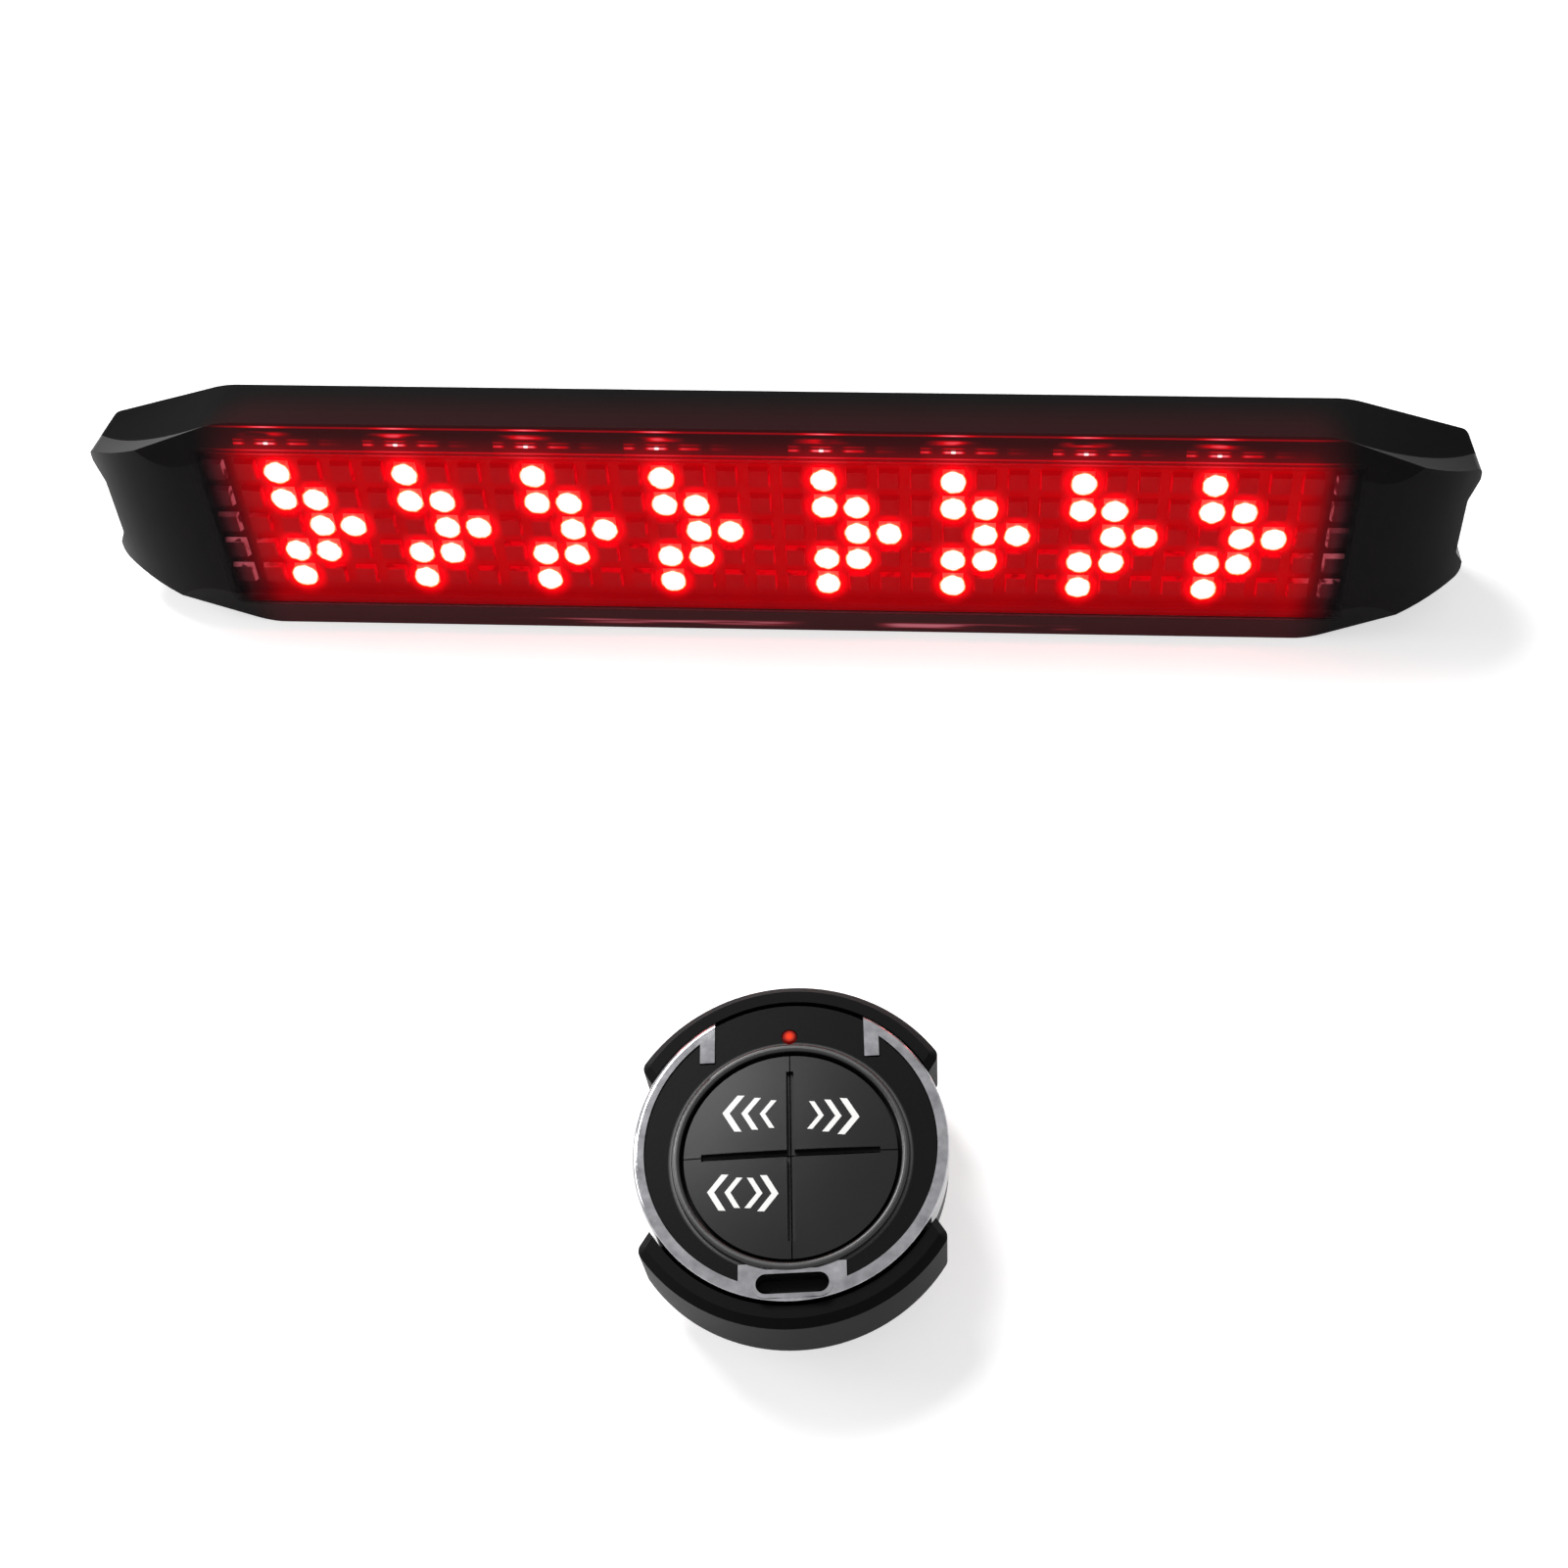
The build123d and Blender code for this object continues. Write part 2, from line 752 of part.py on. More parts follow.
# Handlebar cradle: eared cup for the remote over a saddle for the handlebar
saddle_bore = handlebar_radius + handlebar_pad_thickness
saddle_half_width_bar = saddle_bore * sin(acos(-handlebar_axis / saddle_bore)) + handlebar_saddle_flank


def cradle_outline():
    """Round plate cut to the width of its ears, with a neck on each side under the remote."""
    with BuildSketch() as outline:
        Circle(cradle_radius)
        Rectangle(2 * cradle_half_width, 2 * cradle_radius, mode=Mode.INTERSECT)
        with BuildLine():
            Polyline(
                (cradle_half_width + overrun, cradle_ear_y), (cradle_half_width, cradle_ear_y),
                (cradle_neck_half_width, cradle_neck_y), (cradle_neck_half_width, -cradle_neck_y),
                (cradle_half_width, -cradle_ear_y), (cradle_half_width + overrun, -cradle_ear_y),
                close=True,
            )
        make_face(mode=Mode.SUBTRACT)
        mirror(outline.sketch.faces(), about=Plane.YZ, mode=Mode.INTERSECT)
        ears = outline.vertices().filter_by(lambda v: abs(v.X) > cradle_half_width - seat_gap)
        fillet(ears, cradle_corner_radius)
    return outline.sketch


with BuildPart() as handlebar_cradle:
    with BuildSketch(table.offset(saddle_top)):
        add(cradle_outline())
    extrude(amount=cradle_disc_thickness + cradle_rim_height)
    chamfer(faces().sort_by(Axis.Z)[-1].edges(), cradle_rim_chamfer)
    disc(
        table, cradle_floor, cradle_floor + cradle_rim_height + overrun, ring_radius + cradle_rim_gap,
        mode=Mode.SUBTRACT,
    )
    block(table, 0, saddle_top, handlebar_saddle_length, 2 * saddle_half_width_bar)
    with BuildSketch(along_bar):
        with Locations((0, handlebar_axis)):
            Circle(saddle_bore)
    extrude(amount=handlebar_saddle_length, both=True, mode=Mode.SUBTRACT)
save(handlebar_cradle, "handlebar_cradle")

with BuildPart() as cradle_pad:
    with BuildSketch(along_bar):
        with Locations((0, handlebar_axis)):
            Circle(saddle_bore - seat_gap)
            Circle(handlebar_radius, mode=Mode.SUBTRACT)
        with Locations((0, handlebar_pad_lift)):
            Rectangle(2 * saddle_bore, saddle_top, align=(Align.CENTER, Align.MIN), mode=Mode.INTERSECT)
    extrude(amount=handlebar_pad_length / 2, both=True)
save(cradle_pad, "cradle_pad")

# Back cover of the remote: shallow cup with four screw posts and a groove for the seal
seal_middle = (shell_inner + shell_radius) / 2
with BuildPart() as remote_back_cover:
    disc(table, cradle_floor, seam_height, back_cover_radius)
    chamfer(faces().sort_by(Axis.Z)[0].edges(), back_cover_chamfer)
    disc(table, cell_floor, seam_height, shell_inner, mode=Mode.SUBTRACT)
    disc(table, cell_floor, remote_board_bottom, remote_post_radius, remote_screw_spots)
    disc(
        table, cradle_floor, remote_board_bottom, remote_screw_radius + slide_gap, remote_screw_spots,
        Mode.SUBTRACT,
    )
    disc(
        table, cradle_floor, cradle_floor + remote_screw_head_height + seat_gap,
        remote_screw_head_radius + slide_gap, remote_screw_spots, Mode.SUBTRACT,
    )
    with BuildSketch(table.offset(seam_height - remote_seal_height)):
        Circle(seal_middle + remote_seal_width / 2 + seat_gap / 2)
        Circle(seal_middle - remote_seal_width / 2 - seat_gap / 2, mode=Mode.SUBTRACT)
    extrude(amount=remote_seal_height, mode=Mode.SUBTRACT)
save(remote_back_cover, "remote_back_cover")

with BuildPart() as remote_seal:
    with BuildSketch(table.offset(seam_height - remote_seal_height)):
        Circle(seal_middle + remote_seal_width / 2)
        Circle(seal_middle - remote_seal_width / 2, mode=Mode.SUBTRACT)
    extrude(amount=remote_seal_height)
save(remote_seal, "remote_seal")


def hook_areas(margin):
    """Both hook tabs of the trim ring, or their pockets when a margin is given."""
    with BuildSketch() as areas:
        for side in (1, -1):
            with Locations((side * (brow_half_width + hook_width / 2), hook_end_y - margin)):
                Rectangle(
                    hook_width + 2 * margin, ring_radius, align=(Align.CENTER, Align.MIN)
                )
        Circle(ring_radius - ring_round, mode=Mode.INTERSECT)
    return areas.sketch


def loop_area(margin):
    """Lanyard loop at the foot of the trim ring, or its pocket when a margin is given."""
    with BuildSketch() as area:
        with Locations((0, loop_inner_y + margin)):
            Rectangle(2 * (loop_half_width + margin), ring_radius, align=(Align.CENTER, Align.MAX))
        Circle(ring_radius - ring_round, mode=Mode.INTERSECT)
    return area.sketch


# Trim ring: bright band around the remote, open at the brow, with two hooks and a lanyard loop
with BuildPart() as trim_ring:
    with BuildSketch(table.offset(seam_height)):
        Circle(ring_radius)
        Circle(ring_inner, mode=Mode.SUBTRACT)
        Rectangle(
            2 * brow_half_width, ring_radius + overrun, align=(Align.CENTER, Align.MIN),
            mode=Mode.SUBTRACT,
        )
    extrude(amount=ring_top - seam_height)
    top_edges = edges().group_by(Axis.Z)[-1].filter_by(GeomType.CIRCLE)
    fillet(top_edges.sort_by(SortBy.RADIUS)[-1], ring_round)
    with BuildSketch(table.offset(ring_top - hook_thickness)):
        add(hook_areas(0))
    extrude(amount=hook_thickness)
    with BuildSketch(table.offset(ring_top - loop_thickness)):
        add(loop_area(0))
    extrude(amount=loop_thickness)
    slot(
        table, ring_top, ring_top + loop_rim_height, loop_slot_length + 2 * loop_rim_width,
        loop_slot_height + 2 * loop_rim_width, y=loop_slot_y,
    )
    slot(
        table, seam_height, ring_top + overrun, loop_slot_length, loop_slot_height, y=loop_slot_y,
        mode=Mode.SUBTRACT,
    )
save(trim_ring, "trim_ring")

# Front shell of the remote: face plate with a raised collar round the keypad, and the brow that
# fills the opening of the trim ring
with BuildPart() as remote_front_shell:
    with BuildSketch(table.offset(seam_height)):
        Circle(brow_radius)
        Rectangle(
            2 * (brow_half_width - seat_gap), brow_radius, align=(Align.CENTER, Align.MIN),
            mode=Mode.INTERSECT,
        )
        Circle(shell_radius)
    extrude(amount=shell_height)
    disc(table, seam_height, plate_underside, shell_inner, mode=Mode.SUBTRACT)
    with BuildSketch(table.offset(loop_well_bottom - loop_well_floor)):
        add(loop_area(seat_gap + loop_well_wall))
        Circle(shell_radius, mode=Mode.INTERSECT)
    extrude(amount=plate_underside - loop_well_bottom + loop_well_floor)
    disc(
        table, plate_underside, face_height + collar_height, pad_radius + collar_gap + collar_width,
        [(0, pad_y)],
    )
    disc(
        table, seam_height, face_height + overrun, pad_radius + collar_gap, [(0, pad_y)], Mode.SUBTRACT
    )
    fillet(edges().group_by(Axis.Z)[-1], collar_round)
    disc(table, remote_board_top, plate_underside, remote_boss_radius, remote_screw_spots)
    disc(
        table, remote_board_top, plate_underside, remote_screw_radius + seat_gap / 2,
        remote_screw_spots, Mode.SUBTRACT,
    )
    disc(
        table, seam_height, membrane_top, pad_radius + membrane_margin + seat_gap, [(0, pad_y)],
        Mode.SUBTRACT,
    )
    disc(
        table, seam_height, face_height, indicator_radius + seat_gap, [(0, indicator_y)], Mode.SUBTRACT
    )
    with BuildSketch(table.offset(ring_top - hook_thickness)):
        add(hook_areas(seat_gap))
    extrude(amount=hook_thickness, mode=Mode.SUBTRACT)
    with BuildSketch(table.offset(loop_well_bottom)):
        add(loop_area(seat_gap))
    extrude(amount=loop_thickness + loop_well_depth, mode=Mode.SUBTRACT)
save(remote_front_shell, "remote_front_shell")

# Keypad: a crowned disc parted into four keys, with a wider groove that stops short of the rim
key_quadrants = {
    "key_right": (1, 1), "key_left": (-1, 1), "key_hazard": (-1, -1), "key_plain": (1, -1)
}
pad = table.offset(key_bottom)
pad = Plane(origin=pad.from_local_coords(Vector(0, pad_y, 0)), x_dir=table.x_dir, z_dir=table.z_dir)
pad_side = Plane(origin=pad.origin, x_dir=pad.x_dir, z_dir=-pad.y_dir)
edge_top = face_height + pad_edge_rise - key_bottom
crown_top = face_height + pad_crown_rise - key_bottom
for name, (side_x, side_y) in key_quadrants.items():
    with BuildPart() as key:
        with BuildSketch(pad_side):
            with BuildLine():
                Line((0, 0), (pad_radius, 0))
                Line((pad_radius, 0), (pad_radius, edge_top))
                TangentArc((0, crown_top), (pad_radius, edge_top), tangent=(1, 0))
                Line((0, crown_top), (0, 0))
            make_face()
        revolve(axis=Axis(pad.origin, pad.z_dir))
        block(
            pad, edge_top - groove_depth, crown_top, groove_width, 2 * groove_reach,
            mode=Mode.SUBTRACT,
        )
        block(
            pad, edge_top - groove_depth, crown_top, 2 * groove_reach, groove_width,
            mode=Mode.SUBTRACT,
        )
        quadrant_centre = pad_radius / 2 + key_slit / 2
        block(
            pad, 0, crown_top, pad_radius, pad_radius, side_x * quadrant_centre,
            side_y * quadrant_centre, mode=Mode.INTERSECT,
        )
    save(key, name)

with BuildPart() as keypad_membrane:
    disc(table, membrane_bottom, membrane_top, pad_radius + membrane_margin, [(0, pad_y)])
save(keypad_membrane, "keypad_membrane")

# Inside of the remote: board, four switches, coin cell with its clip, indicator and screws
with BuildPart() as remote_board:
    disc(table, remote_board_bottom, remote_board_top, shell_inner - remote_board_gap)
    disc(
        table, remote_board_bottom, remote_board_top, remote_screw_radius + seat_gap,
        remote_screw_spots, Mode.SUBTRACT,
    )
save(remote_board, "remote_board")

with BuildPart() as tact_switches:
    with BuildSketch(table.offset(remote_board_top)):
        with Locations((0, pad_y)):
            with GridLocations(2 * tact_spread, 2 * tact_spread, 2, 2):
                Rectangle(tact_size, tact_size)
    extrude(amount=tact_height)
save(tact_switches, "tact_switches")

with BuildPart() as coin_cell:
    disc(table, cell_floor, cell_top, cell_radius)
save(coin_cell, "coin_cell")

with BuildPart() as battery_clip:
    block(table, cell_top, remote_board_bottom, clip_length, clip_width)
save(battery_clip, "battery_clip")

with BuildPart() as indicator_lamp:
    disc(
        table, remote_board_top, face_height + indicator_rise, indicator_radius, [(0, indicator_y)]
    )
    chamfer(faces().sort_by(Axis.Z)[-1].edges(), indicator_rise)
save(indicator_lamp, "indicator_lamp")

with BuildPart() as remote_screws:
    screw_seat = cradle_floor + remote_screw_head_height + seat_gap
    screws(
        Plane(origin=table.origin, x_dir=table.x_dir, z_dir=(0, 0, -1)), -screw_seat,
        [(x, -y) for x, y in remote_screw_spots], remote_screw_head_radius, remote_screw_head_height,
        remote_screw_radius, plate_underside - remote_screw_tip_gap - screw_seat, slotted=False,
    )
save(remote_screws, "remote_screws")

print("lean of the bar", round(degrees(lean), 2), "degrees, lamp plane origin", front.origin)
print("face of the remote at", round(face_height, 2), "mm, handlebar axis", round(handlebar_axis, 2))
print("seat post axis at depth", round(post_axis_depth, 2))
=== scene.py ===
# %% [markdown]
# # A bicycle turn signal bar and its handlebar remote
#
# The object is a long black bar, whose smoked cover lies over a matrix of square red lamps, and a
# round remote with four rubber keys. Its solid pieces are already made and packed at their real size.
# This notebook gives every piece its finish, lights the arrows, prints the marks on the keys, and
# sets up the studio. First the imported frame is loaded, and the size of its outer box is printed.

import json
from math import atan2, degrees, radians

import bpy
import numpy as np
from mathutils import Matrix, Vector


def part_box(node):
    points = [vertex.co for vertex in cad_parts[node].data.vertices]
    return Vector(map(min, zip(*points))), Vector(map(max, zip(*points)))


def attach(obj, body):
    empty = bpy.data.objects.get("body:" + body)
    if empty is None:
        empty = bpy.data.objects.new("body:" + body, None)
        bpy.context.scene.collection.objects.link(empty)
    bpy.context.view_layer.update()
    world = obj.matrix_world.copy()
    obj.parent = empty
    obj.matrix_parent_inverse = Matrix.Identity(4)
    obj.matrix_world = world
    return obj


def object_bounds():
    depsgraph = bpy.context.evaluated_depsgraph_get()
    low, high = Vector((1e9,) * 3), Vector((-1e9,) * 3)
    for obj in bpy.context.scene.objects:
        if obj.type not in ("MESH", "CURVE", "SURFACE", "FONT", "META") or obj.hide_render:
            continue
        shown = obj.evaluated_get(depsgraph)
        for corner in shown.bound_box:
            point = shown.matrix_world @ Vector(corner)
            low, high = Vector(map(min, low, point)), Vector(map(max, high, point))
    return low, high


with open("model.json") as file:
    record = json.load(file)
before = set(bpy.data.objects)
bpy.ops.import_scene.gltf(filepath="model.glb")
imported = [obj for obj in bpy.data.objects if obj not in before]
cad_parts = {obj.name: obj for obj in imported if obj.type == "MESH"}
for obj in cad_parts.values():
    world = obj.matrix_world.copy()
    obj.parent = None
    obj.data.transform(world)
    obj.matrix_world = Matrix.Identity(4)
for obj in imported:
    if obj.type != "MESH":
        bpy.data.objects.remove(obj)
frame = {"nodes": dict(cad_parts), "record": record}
cad_low, cad_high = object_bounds()
nodes = frame["nodes"]
frame_size = [round(v * 1000, 1) for v in cad_high - cad_low]
print("pieces in the frame:", len(nodes), "box in mm:", frame_size)

# %% [markdown]
# ## The bar's own axes
#
# The bar leans back on its tapered bottom wall, so its face isn't upright. Everything that follows
# the face is easier to write in the bar's own axes: `along` to the right, `up` the face, and `out`
# towards the viewer, with `out` zero at the tops of the lamps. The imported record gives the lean,
# because the seat post runs parallel to the face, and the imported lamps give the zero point.

# %% Axes of the bar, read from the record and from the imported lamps
MM = 0.001
mounts = {mount["name"]: mount for mount in frame["record"]["mounts"]}
face_up = np.array(mounts["seat_post_clamp"]["axis"])
face_out = np.array([0.0, -face_up[2], face_up[1]])
lean = atan2(face_up[1], face_up[2])


def packed_points(name):
    """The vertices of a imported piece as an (n, 3) array in metres."""
    mesh = nodes[name].data
    points = np.empty(len(mesh.vertices) * 3)
    mesh.vertices.foreach_get("co", points)
    return points.reshape(-1, 3)


lamp_points = np.vstack([packed_points("lit_lamps"), packed_points("dark_lamps")])
lamp_top = (lamp_points @ face_out).max()
lamp_middle = ((lamp_points @ face_up).max() + (lamp_points @ face_up).min()) / 2
bar_origin = face_up * lamp_middle + face_out * lamp_top
print("lean in degrees:", round(degrees(lean), 2), "bar origin in mm:", np.round(bar_origin / MM, 3))

# %% [markdown]
# ## The camera
#
# The photograph looks down on the set from about 58 degrees, and from a little to the right of the
# middle. Its place and focal length come from fitting the lamp matrix, whose pitch is known, to the
# picture. The picture's optical axis isn't in the middle of the frame, because the frame was cropped,
# so the camera has a small sideways shift. A turn about the view line sets the slight slope that the
# bar has in the picture.

# %% Camera at the photograph's viewing angle
PICTURE = 1601
FOCAL_PIXELS = 2026.0
AXIS_COLUMN = 928.0
camera_place = Vector((29.49, -187.31, 240.13)) * MM
camera_target = Vector((19.7, -35.6, 0.0)) * MM
camera_roll = radians(-2.02)

camera_data = bpy.data.cameras.new("photo_camera")
camera_data.sensor_width = 36.0
camera_data.lens = camera_data.sensor_width * FOCAL_PIXELS / PICTURE
camera_data.shift_x = (PICTURE / 2 - AXIS_COLUMN) / PICTURE
camera_data.clip_start, camera_data.clip_end = 0.01, 20.0
camera = bpy.data.objects.new("photo_camera", camera_data)
bpy.context.scene.collection.objects.link(camera)
look = (camera_target - camera_place).to_track_quat("-Z", "Y").to_matrix().to_4x4()
camera.matrix_world = Matrix.Translation(camera_place) @ look @ Matrix.Rotation(camera_roll, 4, "Z")
bpy.context.scene.camera = camera
bpy.context.scene.view_settings.view_transform = "Standard"
print("lens in mm:", round(camera_data.lens, 2), "shift:", round(camera_data.shift_x, 4))

# %% [markdown]
# ## Helpers for finishes
#
# Colours are written as the hex values that a colour picker shows, which are sRGB, and Blender's
# sockets want linear light, so one function turns the first into the second. Another adds a node with
# its settings and links. A third starts a material with one Principled shader, which holds every
# value that is the same all over the surface on its own sockets. The rest are the small steps that
# the finishes are drawn with: sums, mixes, smooth steps and colour ramps.


# %% Colour, node and material helpers
def linear(code, alpha=1.0):
    """sRGB hex to linear: c / 12.92 below 0.04045, and ((c + 0.055) / 1.055) ** 2.4 above it."""
    srgb = np.array([int(code[i : i + 2], 16) for i in (1, 3, 5)]) / 255
    value = np.where(srgb <= 0.04045, srgb / 12.92, ((srgb + 0.055) / 1.055) ** 2.4)
    return (*value.tolist(), alpha)


def add(tree, kind, inputs=None, **settings):
    """Adds a node: settings are its properties, inputs the values or sockets that feed it."""
    made = tree.nodes.new("ShaderNode" + kind)
    for key, value in settings.items():
        setattr(made, key, value)
    for key, value in (inputs or {}).items():
        if isinstance(value, bpy.types.NodeSocket):
            tree.links.new(value, made.inputs[key])
        else:
            made.inputs[key].default_value = value
    return made


def material(name, **sockets):
    """A material with one Principled shader. Underscores in its sockets' names stand for spaces."""
    made = bpy.data.materials.new(name)
    made.use_nodes = True
    tree = made.node_tree
    shader = tree.nodes["Principled BSDF"]
    for key, value in sockets.items():
        shader.inputs[key.replace("_", " ")].default_value = value
    return made, tree, shader


def wear(finish, *pieces):
    """Puts a finished material on packed or made pieces."""
    for piece in pieces:
        data = (nodes[piece] if isinstance(piece, str) else piece).data
        data.materials.clear()
        data.materials.append(finish)


def maths(tree, operation, *values, clamp=False):
    """One Math node on numbers or sockets."""
    inputs = dict(enumerate(values))
    return add(tree, "Math", inputs, operation=operation, use_clamp=clamp).outputs[0]


def colour_mix(tree, inputs):
    """Mixes two colours: the colour sockets of the Mix node are its inputs 6 and 7."""
    numbers = {"Factor": 0, "A": 6, "B": 7}
    inputs = {numbers[key]: value for key, value in inputs.items()}
    return add(tree, "Mix", inputs, data_type="RGBA").outputs[2]


def between(tree, factor, low, high):
    """Maps 0 to 1 onto low to high, as numbers or as hex colours."""
    if isinstance(low, str):
        return colour_mix(tree, {"Factor": factor, "A": linear(low), "B": linear(high)})
    return add(tree, "MapRange", {"Value": factor, "To Min": low, "To Max": high}).outputs[0]


def smoothstep(tree, value, start, end):
    """0 at start, 1 at end, and a smooth step between them, also where end is below start."""
    if start > end:
        return maths(tree, "SUBTRACT", 1.0, smoothstep(tree, value, end, start))
    inputs = {"Value": value, "From Min": start, "From Max": end}
    return add(tree, "MapRange", inputs, interpolation_type="SMOOTHSTEP").outputs[0]


def ramp(tree, value, stops):
    """A colour ramp from (position, hex colour) stops."""
    made = add(tree, "ValToRGB", {"Fac": value})
    elements = made.color_ramp.elements
    while len(elements) < len(stops):
        elements.new(0.5)
    for element, (position, code) in zip(elements, stops):
        element.position = position
        element.color = linear(code)
    return made.outputs["Color"]


print("a mid grey in linear light:", np.round(linear("#808080"), 3))

# %% [markdown]
# ## Moulded plastic
#
# The bar's casing, the bracket, the remote's shells and the cradle are injection moulded: the casing
# and shells in ABS, the bracket and cradle in nylon. The mould's walls are spark eroded, which leaves
# a fine even grain that makes the surface satin. The real grain is under 0.1 mm, too fine for this
# picture, so it is drawn at 0.35 mm on the ABS and at 0.5 mm on the nylon. A broad, faint change of
# tone and gloss comes from handling. The casing is so dull that it hardly mirrors anything.


# %% Satin black plastic
HANDLING_MM, GLOSS_CHANGE = 14.0, 0.04


def grain(tree, size_mm, detail=2.0, stretch=(1.0, 1.0, 1.0)):
    """Noise on Object coordinates whose grains are size_mm apart, or longer along a stretched axis."""
    place = add(tree, "TexCoord").outputs["Object"]
    scaled = add(tree, "Mapping", {"Vector": place, "Scale": [1 / s for s in stretch]})
    inputs = {"Vector": scaled.outputs[0], "Scale": 1 / (size_mm * MM), "Detail": detail}
    return add(tree, "TexNoise", inputs).outputs["Fac"]


def moulded(name, dark, pale, roughness, grain_mm=0.35, depth_mm=0.012, ior=1.54, specular=0.18):
    """Moulded plastic or rubber: a broad change of tone and gloss, and a fine pitted grain."""
    made, tree, shader = material(name, IOR=ior, Specular_IOR_Level=specular)
    broad = grain(tree, HANDLING_MM)
    fine = grain(tree, grain_mm, detail=3.0)
    gloss = between(tree, broad, roughness - GLOSS_CHANGE, roughness + GLOSS_CHANGE)
    bump = add(tree, "Bump", {"Height": fine, "Distance": depth_mm * MM, "Strength": 0.5})
    tree.links.new(between(tree, broad, dark, pale), shader.inputs["Base Color"])
    tree.links.new(gloss, shader.inputs["Roughness"])
    tree.links.new(bump.outputs[0], shader.inputs["Normal"])
    return made


casing_plastic = moulded("spark_eroded_black_abs", "#101010", "#161616", 0.42, specular=0.001)
remote_plastic = moulded("satin_black_abs", "#0a0a0b", "#0f0f10", 0.36, specular=0.05)
nylon = moulded("moulded_black_nylon", "#0e0e0f", "#141415", 0.44, grain_mm=0.5, specular=0.03)
wear(casing_plastic, "rear_casing")
wear(remote_plastic, "remote_front_shell", "remote_back_cover")
wear(nylon, "post_bracket", "handlebar_cradle")
print("moulded finishes:", casing_plastic.name, remote_plastic.name, nylon.name)

# %% [markdown]
# ## Rubber
#
# The keys, the bar's button and charging flap, the pads and the seals are moulded silicone. Its grain
# is softer than the shells'. The keys are rubbed smooth by fingers, so they shine a little.

# %% Silicone rubber
KEYS = ("key_left", "key_right", "key_hazard", "key_plain")
key_rubber = moulded("matt_black_silicone_keypad", "#0c0c0d", "#121213", 0.36, 0.5, 0.006, 1.41, 0.3)
soft_rubber = moulded("black_silicone", "#161617", "#1e1e1f", 0.62, 0.6, 0.01, 1.41)
wear(key_rubber, *KEYS)
wear(soft_rubber, "usb_flap", "power_button", "post_pad", "cradle_pad")
wear(soft_rubber, "remote_seal", "keypad_membrane")
print("rubber finishes:", key_rubber.name, soft_rubber.name)

# %% [markdown]
# ## Metal
#
# The remote's ring is plated in dark chrome: a mirror that gives back about a third of the light,
# with ripples and patches where the plastic under the plating sank. The screws, the charging socket,
# the receiver's can, the remote's cell and its clip are plated or plain steel, whose rolling and
# turning leave fine scratches.


# %% Chrome and steel
def metal(name, dark, pale, roughness, ripple_mm, depth_mm, stretch=(1.0, 1.0, 1.0)):
    """Bare or plated metal: tone and gloss change with the ripples that also bend the surface."""
    made, tree, shader = material(name, Metallic=1.0)
    ripple = grain(tree, ripple_mm, stretch=stretch)
    tree.links.new(between(tree, ripple, dark, pale), shader.inputs["Base Color"])
    spread = between(tree, ripple, roughness * 0.8, roughness * 1.2)
    tree.links.new(spread, shader.inputs["Roughness"])
    bump = add(tree, "Bump", {"Height": ripple, "Distance": depth_mm * MM, "Strength": 0.4})
    tree.links.new(bump.outputs[0], shader.inputs["Normal"])
    return made


chrome = metal("dark_chrome_plate", "#747478", "#c4c4c8", 0.1, 1.6, 0.03)
steel = metal("zinc_plated_steel", "#a9abae", "#c4c6c9", 0.3, 0.4, 0.01, stretch=(6.0, 1.0, 1.0))
wear(chrome, "trim_ring")
wear(steel, "case_screws", "bracket_screws", "board_screws", "remote_screws")
wear(steel, "usb_socket", "receiver_module", "coin_cell", "battery_clip")
print("metal finishes:", chrome.name, steel.name)

# %% [markdown]
# ## Where the lit lamps are, as a shader sees it
#
# The lamps stand on a square grid, and the lit ones form eight arrows of eight lamps. The arrows
# repeat every four columns, with one more column of gap in the middle of the bar. Near a lit lamp a
# bloom is painted on the cover: white-hot over the lamp, with a thin yellow edge, then saturated red
# that fades over a few millimetres. A shader can paint that if it knows the distance to the nearest
# lit lamp. Folding the bar onto one arrow makes that eight distances and their minimum, and it serves
# every material that the red light is painted on: the cover, the board and the dark lamps. Places
# past the arrows, or in the gap between the two halves, are pushed far away from every lamp.

# %% Distance to the nearest lit lamp
PITCH = 4.6
COLUMNS, ROWS = 36, 5
ARROW = [(0, 0), (0, 1), (1, 1), (1, 2), (2, 2), (0, 3), (1, 3), (0, 4)]
ARROW_PERIOD, ARROWS = 4, 8
MIDDLE_GAP = 1
LEFT_FIRST_COLUMN = 2
FAR, NEARLY_NOTHING = 9.0, 0.0001


def bar_place(tree):
    """Object coordinates turned into the bar's axes, in millimetres: (along, -out, up)."""
    place = add(tree, "TexCoord").outputs["Object"]
    turned = Matrix.Rotation(lean, 3, "X") @ Vector(bar_origin)
    inputs = {"Vector": place, "Rotation": (lean, 0, 0), "Location": [-v for v in turned]}
    moved = add(tree, "Mapping", inputs).outputs[0]
    scaled = add(tree, "VectorMath", {0: moved, "Scale": 1 / MM}, operation="SCALE").outputs[0]
    return scaled


